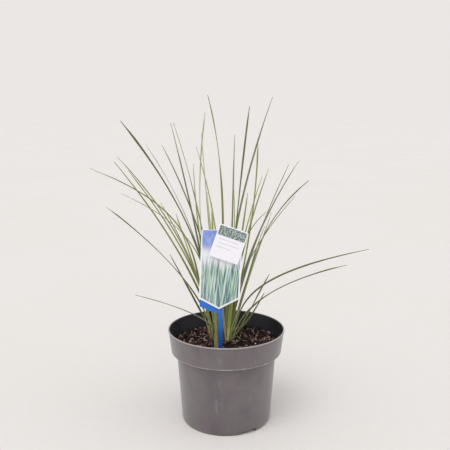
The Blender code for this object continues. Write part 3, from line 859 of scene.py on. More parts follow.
    def _build_fibres(self) -> bpy.types.NodeTree:
        """Scatter short bent straws over the guide's faces."""
        board = new_group("fibre_scatter", "GeometryNodeTree", [
            ("INPUT", "Geometry", "NodeSocketGeometry", None),
            ("INPUT", "Density", "NodeSocketFloat", 2000.0),
            ("INPUT", "Clumps", "NodeSocketFloat", 40.0),
            ("INPUT", "Length", "NodeSocketFloat", 0.012),
            ("INPUT", "Radius", "NodeSocketFloat", 0.0002),
            ("INPUT", "Kinks", "NodeSocketFloat", 0.004),
            ("INPUT", "Seed", "NodeSocketInt", 0),
            ("INPUT", "Material", "NodeSocketMaterial", None),
            ("OUTPUT", "Geometry", "NodeSocketGeometry", None),
        ])
        entry = board.node("NodeGroupInput")
        seed = entry.outputs["Seed"]
        points = board.node("GeometryNodeDistributePointsOnFaces", {
            "Mesh": entry.outputs["Geometry"], "Density": self._density(board, entry), "Seed": seed,
        }).outputs[0]
        tone = board.node("FunctionNodeRandomValue", {"Min": 0.0, "Max": 1.0, "Seed": seed}, data_type="FLOAT")
        points = board.node("GeometryNodeStoreNamedAttribute", {
            "Geometry": points, "Name": "tone", "Value": next(o for o in tone.outputs if o.enabled),
        }, data_type="FLOAT", domain="POINT").outputs[0]
        straw = board.node("GeometryNodeCurvePrimitiveBezierSegment", {
            "Resolution": 7, "Start": (-0.5, 0.0, 0.0), "Start Handle": (-0.2, 0.3, 0.12),
            "End Handle": (0.2, -0.3, 0.1), "End": (0.5, 0.1, 0.02),
        }).outputs[0]
        turn = board.node("FunctionNodeRandomValue", {
            "Min": (-0.9, -0.8, 0.0), "Max": (0.9, 0.8, math.tau), "Seed": board.math("ADD", seed, 3.0),
        }, data_type="FLOAT_VECTOR")
        size = board.node("FunctionNodeRandomValue", {
            "Min": (0.3, -1.2, -0.5), "Max": (1.0, 1.2, 1.6), "Seed": board.math("ADD", seed, 5.0),
        }, data_type="FLOAT_VECTOR")
        length = board.node("ShaderNodeVectorMath", {
            0: next(o for o in size.outputs if o.enabled), "Scale": entry.outputs["Length"],
        }, operation="SCALE").outputs[0]
        lines = board.node("GeometryNodeInstanceOnPoints", {
            "Points": points, "Instance": straw, "Scale": length,
            "Rotation": next(o for o in turn.outputs if o.enabled),
        }).outputs[0]
        lines = board.node("GeometryNodeRealizeInstances", {"Geometry": lines}).outputs[0]
        lines = board.node("GeometryNodeSetPosition", {
            "Geometry": lines, "Offset": self._shake(board, 90.0, entry.outputs["Kinks"]),
        }).outputs[0]
        ring = board.node("GeometryNodeCurvePrimitiveCircle", {"Resolution": 4, "Radius": entry.outputs["Radius"]})
        swept = board.node("GeometryNodeCurveToMesh", {
            "Curve": lines, "Profile Curve": ring.outputs[0], "Scale": 1.0, "Fill Caps": True,
        }).outputs[0]
        self._finish(board, swept, entry)
        return board.tree

    def _finish(self, board: Board, geometry: bpy.types.NodeSocket, entry: bpy.types.Node) -> None:
        """End a tree in Realize Instances and Set Material.

        Args:
            board: Board of the tree.
            geometry: Socket with the finished geometry.
            entry: The tree's input node, which has the material.
        """
        real = board.node("GeometryNodeRealizeInstances", {"Geometry": geometry}).outputs[0]
        inputs = {"Geometry": real, "Material": entry.outputs["Material"]}
        painted = board.node("GeometryNodeSetMaterial", inputs).outputs[0]
        board.feed(board.node("NodeGroupOutput"), "Geometry", painted)


TREES = GeometryTrees()


def mesh_from(builder: bmesh.types.BMesh, *materials: bpy.types.Material) -> bpy.types.Mesh:
    """Turn a bmesh into a mesh whose faces point outwards.

    Args:
        builder: The bmesh, which is freed.
        *materials: Materials in the order of their slots.

    Returns:
        The mesh.
    """
    bmesh.ops.recalc_face_normals(builder, faces=builder.faces)
    mesh = bpy.data.meshes.new("part")
    builder.to_mesh(mesh)
    builder.free()
    for material in materials:
        mesh.materials.append(material)
    return mesh


def skin(builder: bmesh.types.BMesh, rings: list[list[Vector]], poles: bool = False) -> list[list]:
    """Join rings of points into a closed tube.

    Args:
        builder: Bmesh to build in.
        rings: Rings of the same number of points.
        poles: True to close each end in a point at the ring's middle, False for a flat face.

    Returns:
        The rings' vertices.
    """
    loops = [[builder.verts.new(point) for point in ring] for ring in rings]
    count = len(loops[0])
    for lower, upper in zip(loops, loops[1:]):
        for index in range(count):
            after = (index + 1) % count
            builder.faces.new((lower[index], lower[after], upper[after], upper[index]))
    for loop in (list(reversed(loops[0])), loops[-1]):
        if poles:
            middle = builder.verts.new(sum((vert.co for vert in loop), Vector()) / count)
            for index in range(count):
                builder.faces.new((loop[index], loop[(index + 1) % count], middle))
        else:
            builder.faces.new(loop)
    return loops


def circle(radius: float, height: float, segments: int) -> list[Vector]:
    """Return the points of a level circle about Z."""
    turns = [index * math.tau / segments for index in range(segments)]
    return [Vector((radius * math.cos(turn), radius * math.sin(turn), height)) for turn in turns]


def round_corners(points: list[tuple[float, float, float]], steps: int) -> list[tuple[float, float]]:
    """Round the corners of an open outline.

    Args:
        points: Corners as x, y and the radius of the rounding.
        steps: Points on each rounding, less one.

    Returns:
        The outline as x and y pairs.
    """
    outline = [points[0][:2]]
    for before, corner, after in zip(points, points[1:], points[2:]):
        middle = Vector(corner[:2])
        back = Vector(before[:2]) - middle
        ahead = Vector(after[:2]) - middle
        turn = back.angle(ahead)
        reach = min(corner[2] / math.tan(turn / 2), back.length * 0.45, ahead.length * 0.45)
        if corner[2] == 0:
            outline.append(corner[:2])
            continue
        start = middle + back.normalized() * reach
        end = middle + ahead.normalized() * reach
        for index in range(steps + 1):
            share = index / steps
            point = start * (1 - share) ** 2 + middle * 2 * share * (1 - share) + end * share ** 2
            outline.append((point.x, point.y))
    outline.append(points[-1][:2])
    return outline


@dataclass
class Pot:
    """The nursery pot: foot ring with arches, tapered body, upright collar and rolled lip."""

    height: float = 189 * MM
    wall: float = 1.8 * MM
    rim_radius: float = 117 * MM
    lip_z: float = 185 * MM
    collar_top: float = 116 * MM
    collar_foot: float = 110.8 * MM
    collar_z: float = 144 * MM
    body_top: float = 99.8 * MM
    body_top_z: float = 140.5 * MM
    body_foot: float = 90.4 * MM
    foot_outer: float = 88.6 * MM
    foot_inner: float = 84.6 * MM
    floor_under: float = 8 * MM
    floor_top: float = 10.2 * MM
    segments: int = 192
    arch_angles: tuple[int, ...] = (-61, 59, 179)
    arch_width: float = 36 * MM
    arch_height: float = 6.8 * MM
    arch_corner: float = 3 * MM
    hole_radius: float = 7 * MM
    hole_reach: float = 70 * MM

    def inner_radius(self, height: float) -> float:
        """Return the radius of the collar's inside at a height."""
        share = (height - self.collar_z) / (self.lip_z - self.collar_z)
        return self.collar_foot + share * (self.collar_top - self.collar_foot) - self.wall

    def outer_outline(self) -> list[tuple[float, float]]:
        """Return the outside from the middle of the floor's underside to the lip's inner edge."""
        return round_corners([
            (8 * MM, self.floor_under, 0.0),
            (self.foot_inner - 1 * MM, self.floor_under, 1.0 * MM),
            (self.foot_inner, 0.0, 0.5 * MM),
            (self.foot_outer, 0.0, 1.2 * MM),
            (self.body_foot, 6 * MM, 4 * MM),
            (self.body_foot + 0.2 * MM, 9 * MM, 0.0),
            (self.body_top, self.body_top_z, 0.9 * MM),
            (self.collar_foot - 0.6 * MM, self.collar_z - 0.8 * MM, 0.5 * MM),
            (self.collar_foot, self.collar_z, 0.4 * MM),
            (self.collar_top, self.lip_z, 0.3 * MM),
            (self.rim_radius, self.lip_z + 0.6 * MM, 0.4 * MM),
            (self.rim_radius, self.height, 1.1 * MM),
            (self.collar_top - self.wall + 0.4 * MM, self.height, 0.9 * MM),
            (self.collar_top - self.wall, self.lip_z, 0.5 * MM),
        ], 5)

    def inner_outline(self) -> list[tuple[float, float]]:
        """Return the inside from below the lip to the middle of the floor."""
        slope = (self.body_top - self.body_foot) / (self.body_top_z - 6 * MM)
        corner = self.body_foot + slope * (self.floor_top - 6 * MM) - self.wall
        return round_corners([
            (self.collar_top - self.wall, self.lip_z, 0.0),
            (self.collar_foot - self.wall, self.collar_z + self.wall, 1.0 * MM),
            (self.body_top - self.wall, self.body_top_z + self.wall / 2, 1.5 * MM),
            (corner, self.floor_top, 4 * MM),
            (8 * MM, self.floor_top, 0.0),
        ], 5)

    def cutters(self) -> list[bpy.types.Object]:
        """Return the blocks and rods that cut the arches and the drainage holes."""
        made = []
        half = self.arch_width / 2
        arch = round_corners([
            (-half, -5 * MM, 0.0),
            (-half, self.arch_height, self.arch_corner),
            (half, self.arch_height, self.arch_corner),
            (half, -5 * MM, 0.0),
        ], 6)
        for number, angle in enumerate(self.arch_angles, start=1):
            turn = Matrix.Rotation(math.radians(angle), 4, "Z")
            block = bmesh.new()
            ends = (self.foot_inner - 12 * MM, self.rim_radius)
            skin(block, [[turn @ Vector((reach, y, z)) for y, z in arch] for reach in ends])
            rod = bmesh.new()
            centre = turn @ Vector((self.hole_reach, 0.0, 0.0))
            levels = (self.floor_under - 3 * MM, self.floor_top + 3 * MM)
            skin(rod, [[point + centre for point in circle(self.hole_radius, z, 48)] for z in levels])
            for label, builder in ((f"arch_{number}", block), (f"hole_{number}", rod)):
                cutter = bpy.data.objects.new(label, mesh_from(builder))
                bpy.context.scene.collection.objects.link(cutter)
                made.append(cutter)
        return made

    def build(self) -> bpy.types.Object:
        """Build and dress the pot.

        Returns:
            The pot's piece.
        """
        outside = self.outer_outline()
        profile = outside + self.inner_outline()[1:]
        builder = bmesh.new()
        skin(builder, [circle(radius, z, self.segments) for radius, z in profile], poles=True)
        mesh = mesh_from(builder)
        body = bpy.data.objects.new("pot_body", mesh)
        bpy.context.scene.collection.objects.link(body)
        cutters = self.cutters()
        for cutter in cutters:
            modifier = body.modifiers.new(cutter.name, "BOOLEAN")
            modifier.operation = "DIFFERENCE"
            modifier.solver = "EXACT"
            modifier.object = cutter
        graph = bpy.context.evaluated_depsgraph_get()
        carved = bpy.data.meshes.new_from_object(body.evaluated_get(graph))
        for spare in (*cutters, body):
            bpy.data.objects.remove(spare)
        # Outside colours in order: deep, pale, blush, painted shade, scuffs and painted highlight, painted collar
        # glint, dust.
        outer = PotPlastic(
            "pot_outside", tint(88, 81, 85), tint(106, 100, 101), tint(108, 94, 101), tint(48, 42, 46),
            tint(178, 168, 170), tint(216, 212, 214), tint(164, 156, 152), 0.44, 0.16, 0.3,
        ).material(self.lip_z, self.collar_z)
        inner = PotPlastic(
            "pot_inside", tint(30, 30, 35), tint(44, 44, 50), tint(42, 40, 52), tint(20, 19, 22),
            tint(64, 63, 70), tint(84, 82, 88), tint(92, 80, 72), 0.42, 0.3, 0.0,
        ).material(self.height * 2, self.height * 2)
        carved.materials.clear()
        carved.materials.append(outer)
        carved.materials.append(inner)
        for face in carved.polygons:
            middle = face.center
            reach = math.hypot(middle.x, middle.y)
            outward = (face.normal.x * middle.x + face.normal.y * middle.y) / max(reach, MM)
            under_lip = middle.z < self.height - 0.9 * MM
            floor_top = face.normal.z > 0.5 and middle.z > self.floor_under
            if under_lip and middle.z > self.floor_under + 1 * MM and (outward < -0.3 or floor_top):
                face.material_index = 1
        carved.shade_smooth()
        carved.set_sharp_from_angle(angle=math.radians(32))
        return add_piece("nursery_pot", carved, "pot", "pot")


@dataclass
class SoilBed:
    """The potting mix, with bark chips, crumbs, perlite and fibres on its surface."""

    pot: Pot
    level: float = 156 * MM
    lump: float = 2.2 * MM
    flat_radius: float = 34 * MM
    flat_fade: float = 20 * MM
    swell: tuple[float, float] = (150.0, 135.0)
    swell_phase: tuple[float, float] = (1.0, 0.4)
    ripple: tuple[float, float] = (310.0, -240.0)
    ripple_share: float = 0.6
    rough: float = 5.0 * MM
    rings: int = 76
    segments: int = 200
    crown_centre: tuple[float, float] = (-9 * MM, 9 * MM)
    crown_half: tuple[float, float] = (29 * MM, 27 * MM)
    crown_rise: float = 8 * MM
    crown_clear: float = 15 * MM
    bank: float = 5 * MM
    red_spots: tuple[tuple[float, float, float], ...] = (
        (-58 * MM, 2 * MM, 27 * MM),
        (82 * MM, 30 * MM, 20 * MM),
        (-12 * MM, -84 * MM, 22 * MM),
        (56 * MM, -56 * MM, 18 * MM),
        (-24 * MM, 84 * MM, 18 * MM),
    )
    red_elsewhere: float = 0.07

    def height(self, x: float, y: float, rough: float | None = None) -> float:
        """Return the height of the surface.

        Args:
            x: Place along X.
            y: Place along Y.
            rough: Depth of the fine lumps, or None for the bed's own.

        Returns:
            The height above the floor.
        """
        away = math.hypot(x - self.crown_centre[0], y - self.crown_centre[1])
        share = min(1.0, max(0.0, (away - self.flat_radius) / self.flat_fade))
        swell = math.sin(self.swell[0] * x + self.swell_phase[0])
        swell *= math.sin(self.swell[1] * y + self.swell_phase[1])
        ripple = math.sin(self.ripple[0] * x + self.ripple[1] * y)
        lumps = (swell + self.ripple_share * ripple) / (1 + self.ripple_share)
        fine = noise.fractal(Vector((x * 170, y * 170, 0.7)), 0.7, 2.1, 4)
        depth = self.rough if rough is None else rough
        bank = self.bank * (1 - smoothstep(0.96, 1.5, self.crown_share(x, y)))
        return self.level + self.lump * share * lumps + depth * fine + bank

    def crown_share(self, x: float, y: float) -> float:
        """Return how far out a place is from the crown's middle, 1 being the crown's edge."""
        return math.hypot(
            (x - self.crown_centre[0]) / self.crown_half[0], (y - self.crown_centre[1]) / self.crown_half[1]
        )

    def litter_height(self, x: float, y: float) -> float:
        """Return the height that loose bits lie at, on the crown's flank or on the soil."""
        out = max(0.0, self.crown_share(x, y) - 0.45) / 0.55
        flank = self.level + self.crown_rise * (1 - min(2.0, out) ** 5)
        return max(flank, self.height(x, y, 1.2 * MM))

    def red_share(self, x: float, y: float) -> float:
        """Return how much of the red bark lies at a place, 0 to 1."""
        near = max(math.exp(-(math.hypot(x - across, y - along) / radius) ** 2)
                   for across, along, radius in self.red_spots)
        return self.red_elsewhere + (1 - self.red_elsewhere) * near

    def build_bed(self) -> bpy.types.Object:
        """Build the solid bed, lumpy on top and fitted to the pot below."""
        builder = bmesh.new()
        clear = 0.5 * MM
        wall = [point for point in self.pot.inner_outline() if point[1] < self.level - 2 * MM]
        rings = [circle(radius - clear, z + clear, self.segments) for radius, z in reversed(wall)]
        edge = self.pot.inner_radius(self.level) - clear
        for index in range(self.rings):
            ring = circle(edge * (1 - index / self.rings), self.level, self.segments)
            rings.append([Vector((p.x, p.y, self.height(p.x, p.y))) for p in ring])
        skin(builder, rings, poles=True)
        mesh = mesh_from(builder, PottingMix().material())
        mesh.shade_smooth()
        return add_piece("soil_bed", mesh, "soil", "soil")

    def guide(self, inner: float, outer: float, red: bool) -> bpy.types.Mesh:
        """Return the surface between two distances, as a guide for what lies on it.

        Args:
            inner: Distance from the crown's centre where the guide starts.
            outer: Distance from the pot's axis where it ends.
            red: True to share the litter out in red patches, False to spread it evenly.

        Returns:
            An open mesh with the attribute share.
        """
        builder = bmesh.new()
        layer = builder.verts.layers.float.new("share")
        rows = []
        count = 96
        for index in range(28):
            share = index / 27
            row = []
            for step in range(count):
                turn = step * math.tau / count
                near = Vector(self.crown_centre) + Vector((math.cos(turn), math.sin(turn))) * inner
                far = Vector((math.cos(turn), math.sin(turn))) * outer
                spot = near.lerp(far, share)
                vert = builder.verts.new((spot.x, spot.y, self.litter_height(spot.x, spot.y)))
                vert[layer] = self.red_share(spot.x, spot.y) if red else 1.0
                row.append(vert)
            rows.append(row)
        for lower, upper in zip(rows, rows[1:]):
            for step in range(count):
                after = (step + 1) % count
                builder.faces.new((lower[step], lower[after], upper[after], upper[step]))
        return mesh_from(builder)

    def build_litter(self) -> list[bpy.types.Object]:
        """Scatter bark, crumbs, perlite and fibres over the surface.

        Returns:
            The pieces.
        """
        outer = self.pot.inner_radius(self.level) - 4 * MM
        bark = GrainFinish("bark", tint(36, 16, 12), tint(106, 58, 46), tint(214, 164, 144), 0.5, 420.0)
        lump = GrainFinish("lumps", tint(12, 9, 9), tint(52, 40, 38), tint(164, 138, 132), 0.55, 380.0)
        crumb = GrainFinish("crumbs", tint(9, 6, 6), tint(28, 20, 18), tint(116, 90, 82), 0.62, 700.0)
        perlite = GrainFinish("perlite", tint(196, 190, 184), tint(226, 221, 216), tint(242, 240, 236), 0.75, 900.0)
        straw = GrainFinish("straw", tint(80, 58, 48), tint(170, 140, 124), tint(242, 226, 214), 0.7, 800.0)
        rows = (
            ("bark_chips", TREES.grains, bark, True, {
                "Density": 30000.0, "Clumps": 80.0, "Smallest": (1.8 * MM, 0.8 * MM, 0.5 * MM),
                "Largest": (6.0 * MM, 2.2 * MM, 1.3 * MM), "Tilt": 1.2, "Ruggedness": 2.4 * MM,
                "Detail": 2, "Seed": 11,
            }),
            ("soil_lumps", TREES.grains, lump, False, {
                "Density": 9000.0, "Clumps": 85.0, "Smallest": (1.8 * MM, 1.3 * MM, 0.9 * MM),
                "Largest": (7.0 * MM, 4.4 * MM, 2.8 * MM), "Tilt": 1.3, "Ruggedness": 3.4 * MM,
                "Detail": 2, "Seed": 19,
            }),
            ("soil_crumbs", TREES.grains, crumb, False, {
                "Density": 52000.0, "Clumps": 60.0, "Smallest": (0.5 * MM, 0.4 * MM, 0.3 * MM),
                "Largest": (1.9 * MM, 1.5 * MM, 1.2 * MM), "Tilt": 1.5, "Ruggedness": 1.6 * MM,
                "Detail": 1, "Seed": 23,
            }),
            ("perlite_grains", TREES.grains, perlite, False, {
                "Density": 1500.0, "Clumps": 40.0, "Smallest": (0.6 * MM, 0.6 * MM, 0.5 * MM),
                "Largest": (2.4 * MM, 1.9 * MM, 1.5 * MM), "Tilt": 1.5, "Ruggedness": 0.9 * MM,
                "Detail": 2, "Seed": 37,
            }),
            ("straw_fibres", TREES.fibres, straw, False, {
                "Density": 8000.0, "Clumps": 50.0, "Length": 20 * MM, "Radius": 0.24 * MM,
                "Kinks": 4.5 * MM, "Seed": 41,
            }),
        )
        pieces = []
        for name, tree, finish, red, values in rows:
            guide = self.guide(self.crown_clear, outer, red)
            mesh = run_tree(tree, guide, values | {"Material": finish.material()})
            pieces.append(add_piece(name, mesh, "soil"))
        return pieces


class LeafTone(Enum):
    """Greens that the leaves come in."""

    DEEP = "deep"
    OLIVE = "olive"
    GREY = "grey"
    FRESH = "fresh"
    PALE = "pale"


BLADES = {
    LeafTone.DEEP: BladeFinish(
        "leaf_deep", tint(222, 220, 182), tint(202, 210, 152), tint(98, 106, 64), tint(90, 97, 70),
        tint(202, 208, 150), tint(44, 52, 32), tint(44, 34, 30), tint(138, 128, 96),
    ),
    LeafTone.OLIVE: BladeFinish(
        "leaf_olive", tint(222, 220, 170), tint(202, 212, 124), tint(130, 139, 64), tint(128, 133, 76),
        tint(216, 220, 144), tint(62, 72, 34), tint(66, 50, 38),
    ),
    LeafTone.GREY: BladeFinish(
        "leaf_grey", tint(226, 224, 190), tint(210, 216, 162), tint(114, 121, 78), tint(114, 119, 95),
        tint(216, 220, 178), tint(58, 65, 44), tint(60, 50, 42), tint(156, 148, 116),
    ),
    LeafTone.FRESH: BladeFinish(
        "leaf_fresh", tint(228, 228, 170), tint(214, 224, 126), tint(158, 174, 72), tint(152, 163, 82),
        tint(230, 235, 156), tint(82, 98, 38), tint(96, 76, 50),
    ),
    LeafTone.PALE: BladeFinish(
        "leaf_pale", tint(224, 222, 180), tint(208, 214, 142), tint(162, 167, 106), tint(164, 167, 126),
        tint(226, 227, 188), tint(98, 106, 66), tint(106, 88, 70),
    ),
}


@dataclass(frozen=True)
class LeafRow:
    """One leaf: its tip in millimetres, its bend, its width and how its flat is turned.

    The slim shares say how wide the blade still is at 0.6, 0.8 and 0.93 of its climb.
    """

    tip_x: float
    tip_y: float
    tip_z: float
    rise: float
    sway: float
    width: float
    facing: float
    tone: LeafTone = LeafTone.OLIVE
    slim: tuple[float, float, float] = (0.8, 0.55, 0.25)
    roll: float = 0.0

    @property
    def tip(self) -> Vector:
        """Return the tip in metres."""
        return Vector((self.tip_x, self.tip_y, self.tip_z)) * MM


DEEP, OLIVE, GREY, FRESH, PALE = LeafTone

LEAVES = (
    LeafRow(-181, -130, 602, 2.0, -4, 5.5, 15, DEEP, (0.35, 0.45, 0.70)),
    LeafRow(-209, -10, 533, 2.1, -10, 4.5, -35, OLIVE, (0.75, 0.75, 0.60)),
    LeafRow(-198, 50, 503, 1.4, 9, 4.0, 40, OLIVE, (0.80, 0.50, 0.50)),
    LeafRow(-197, -110, 531, 1.7, -11, 4.5, 30, OLIVE, (0.60, 0.50, 0.20)),
    LeafRow(-275, 48, 506, 4.3, -21, 4.5, -20, OLIVE, (0.75, 0.70, 0.50)),
    LeafRow(-225, 120, 447, 4.3, -4, 4.0, 50, OLIVE, (0.60, 0.40, 0.55)),
    LeafRow(-207, -150, 457, 1.7, -6, 4.5, -30, DEEP, (0.40, 0.65, 1.00)),
    LeafRow(-106, -60, 353, 1.4, -7, 4.0, 25, DEEP, (0.95, 0.50, 0.30)),
    LeafRow(-150, -220, 321, 1.3, 21, 4.0, 20, GREY, (0.55, 0.30, 0.30)),
    LeafRow(-168, 100, 552, 2.1, -3, 4.0, -45, DEEP, (0.35, 0.10, 0.28)),
    LeafRow(-112, 170, 395, 1.5, -7, 4.0, 35, FRESH, (0.80, 0.65, 0.95)),
    LeafRow(-148, 190, 417, 1.7, -2, 4.0, -30, OLIVE, (0.75, 0.50, 0.35)),
    LeafRow(-136, 120, 550, 1.6, 10, 4.5, 30, DEEP, (0.80, 0.65, 0.40)),
    LeafRow(-103, -40, 597, 2.1, -19, 5.5, -15, DEEP, (0.55, 0.42, 0.10)),
    LeafRow(-106, 60, 597, 2.0, -5, 4.5, 35, OLIVE, (0.68, 0.20, 0.16)),
    LeafRow(-73, 180, 506, 1.4, -14, 4.5, -40, OLIVE, (0.75, 0.50, 0.35)),
    LeafRow(-65, 160, 543, 1.7, 13, 4.5, 20, PALE, (0.70, 0.50, 0.28)),
    LeafRow(-41, 10, 617, 1.5, -25, 4.5, -30, PALE, (0.25, 0.55, 0.55)),
    LeafRow(-53, 140, 574, 1.9, -8, 4.0, 45, PALE, (0.60, 0.40, 0.60)),
    LeafRow(-35, -20, 649, 4.5, 9, 5.0, 10, OLIVE, (0.80, 0.12, 0.35)),
    LeafRow(-44, 220, 438, 1.7, -4, 4.0, -20, FRESH, (0.80, 0.60, 0.30)),
    LeafRow(-30, 70, 433, 1.7, -6, 6.0, 5, FRESH, (0.90, 0.70, 0.30)),
    LeafRow(18, 110, 571, 3.4, 16, 4.5, 25, GREY, (0.75, 0.60, 0.28)),
    LeafRow(17, 150, 451, 1.7, 11, 4.0, -35, FRESH, (0.85, 0.65, 0.40)),
    LeafRow(43, -30, 628, 2.4, 15, 5.5, 15, DEEP, (0.35, 0.65, 0.50)),
    LeafRow(90, 30, 647, 1.5, -11, 4.5, -30, GREY, (1.00, 0.95, 0.25)),
    LeafRow(68, 130, 556, 1.2, 17, 4.0, 40, OLIVE, (0.80, 0.85, 0.95)),
    LeafRow(80, 180, 478, 1.4, -6, 4.0, -25, FRESH, (0.80, 0.60, 0.42)),
    LeafRow(89, 100, 501, 1.5, -2, 4.5, 30, OLIVE, (0.75, 0.60, 0.38)),
    LeafRow(46, 130, 447, 1.6, 7, 4.0, -45, OLIVE, (1.00, 1.30, 0.80)),
    LeafRow(59, 220, 396, 1.5, 12, 4.0, 20, FRESH, (0.80, 0.60, 0.30)),
    LeafRow(128, 70, 513, 1.8, 10, 4.0, -35, GREY, (0.65, 0.45, 0.35)),
    LeafRow(135, -40, 527, 1.9, 6, 5.0, 25, GREY, (0.75, 0.55, 0.38)),
    LeafRow(140, -150, 502, 3.1, 35, 4.5, -30, GREY, (0.40, 0.30, 0.50)),
    LeafRow(142, 70, 447, 1.7, -12, 4.0, 35, DEEP, (0.55, 0.40, 0.30)),
    LeafRow(95, 90, 410, 1.5, 7, 4.0, -20, PALE, (0.70, 0.50, 0.30)),
    LeafRow(74, -30, 402, 2.7, 24, 4.0, 30, OLIVE, (0.70, 0.55, 0.30)),
    LeafRow(76, -30, 430, 4.4, 16, 4.0, -40, DEEP, (0.60, 0.35, 0.28)),
    LeafRow(275, -31, 357, 3.1, 9, 4.5, 30, DEEP, (0.95, 0.85, 0.45), 80),
    LeafRow(212, -140, 352, 2.3, 17, 4.5, -25, DEEP, (0.35, 0.50, 0.85), 15),
    LeafRow(74, -170, 344, 0.7, -5, 4.0, 30, DEEP, (0.45, 1.00, 0.65)),
    LeafRow(71, -80, 285, 0.9, 3, 4.0, -30, DEEP, (0.70, 0.50, 0.32)),
    LeafRow(-15, 220, 330, 1.8, 0, 4.5, 20, OLIVE),
    LeafRow(20, 200, 315, 1.9, 0, 4.5, -30, GREY),
    LeafRow(8, 130, 360, 1.5, 0, 4.5, 15, DEEP),
    LeafRow(-22, 90, 370, 1.4, 4, 4.0, -20, OLIVE),
    LeafRow(26, 60, 350, 1.4, 0, 4.0, 30, FRESH),
    LeafRow(-3, 170, 280, 1.8, 0, 4.0, -10, GREY),
    LeafRow(4, 20, 390, 1.3, 0, 4.0, 25, OLIVE),
    LeafRow(-13, 5, 360, 1.2, 0, 4.0, -25, GREY),
)


@dataclass(frozen=True)
class NearLeaf:
    """One short leaf at the front of the tuft, its places and sizes in millimetres."""

    name: str
    foot: tuple[float, float, float]
    tip: tuple[float, float, float]
    bow: tuple[float, float]
    width: float
    facing: float
    finish: BladeFinish

    def line(self, tone: float) -> list[tuple[Vector, Vector, float, float]]:
        """Return the line that the leaf is swept along.

        Args:
            tone: The leaf's own tone, 0 to 1. Not used.

        Returns:
            Rows for Guide.add_line.
        """
        start, end = Vector(self.foot) * MM, Vector(self.tip) * MM
        turn = math.radians(self.facing)
        side = Vector((math.cos(turn), math.sin(turn), 0.0))
        rows = []
        for index in range(33):
            share = index / 32
            bulge = 4 * share * (1 - share) * MM
            point = start.lerp(end, share) + Vector((self.bow[0] * bulge, self.bow[1] * bulge, 0.0))
            wide = 0.7 + 0.3 * smoothstep(0.0, 0.4, share)
            half = self.width / 2 * MM * wide * (1 - share ** 7) ** 0.8 + 0.3 * MM
            rows.append((point, side, half, share))
        return rows


DRY_LEAF = BladeFinish(
    "dry_leaf", tint(190, 146, 84), tint(168, 150, 92), tint(146, 144, 82), tint(140, 144, 78),
    tint(216, 206, 146), tint(74, 66, 34), tint(96, 80, 48), tint(182, 126, 54), 0.97, 0.5, 0.55,
)
BEIGE_LEAF = BladeFinish(
    "beige_leaf", tint(160, 104, 56), tint(196, 168, 118), tint(206, 196, 148), tint(190, 180, 130),
    tint(226, 214, 182), tint(112, 84, 52), tint(110, 84, 56), tint(96, 58, 34), 0.97, 0.45, 0.6,
)
# Painted shade: a darker copy of the fresh green, standing for the shaded half of the broad folded leaf at the front;
# the broad rear leaf takes it.
SHADED_HALF_LEAF = BladeFinish(
    "shaded_half_leaf", tint(150, 140, 96), tint(112, 120, 62), tint(92, 102, 48), tint(88, 96, 50),
    tint(168, 176, 112), tint(40, 48, 22), tint(66, 60, 34), tint(98, 84, 64), 0.97, 0.4,
)
NEAR_LEAVES = (
    NearLeaf("leaf_beside_stake", (-22.4, -39, 150), (-20.8, -38.8, 240), (0.3, 0), 3.1, 4, DRY_LEAF),
    NearLeaf("leaf_behind_stake", (-17.6, -33, 150), (-19.0, -32.4, 262), (0, 0), 3.4, 6, BLADES[FRESH]),
    NearLeaf("broad_front_leaf", (2.4, -9, 158), (20, -4, 326), (-0.8, -1.5), 6.6, 12, BLADES[FRESH]),
    NearLeaf("broad_rear_leaf", (7.4, -5, 158), (25, 0, 318), (-0.6, -1), 4.8, -8, SHADED_HALF_LEAF),
    NearLeaf("beige_front_leaf", (-0.2, -11, 158), (-9.5, -16, 266), (-0.4, 0), 2.6, 10, BEIGE_LEAF),
)


@dataclass
class Guide:
    """Lines that straps are swept along, with what each point carries."""

    points: list[Vector]
    edges: list[tuple[int, int]]
    half_widths: list[float]
    sides: list[Vector]
    alongs: list[float]
    tones: list[float]

    @classmethod
    def empty(cls) -> "Guide":
        """Return a guide with no lines."""
        return cls([], [], [], [], [], [])

    def add_line(self, line: list[tuple[Vector, Vector, float, float]], tone: float) -> None:
        """Add one line.

        Args:
            line: Rows of point, direction across the strap, half width and share along the line.
            tone: The strap's own tone, 0 to 1.
        """
        first = len(self.points)
        for point, side, half_width, along in line:
            self.points.append(point)
            self.sides.append(side)
            self.half_widths.append(half_width)
            self.alongs.append(along)
            self.tones.append(tone)
        self.edges += [(index, index + 1) for index in range(first, len(self.points) - 1)]

    def mesh(self) -> bpy.types.Mesh:
        """Return the guide as a mesh of edges with its attributes."""
        mesh = bpy.data.meshes.new("guide")
        mesh.from_pydata(self.points, self.edges, [])
        rows = (
            ("half_width", "FLOAT", "value", self.half_widths),
            ("along", "FLOAT", "value", self.alongs),
            ("tone", "FLOAT", "value", self.tones),
            ("side", "FLOAT_VECTOR", "vector", [part for side in self.sides for part in side]),
        )
        for name, kind, field_name, values in rows:
            mesh.attributes.new(name, kind, "POINT").data.foreach_set(field_name, values)
        return mesh


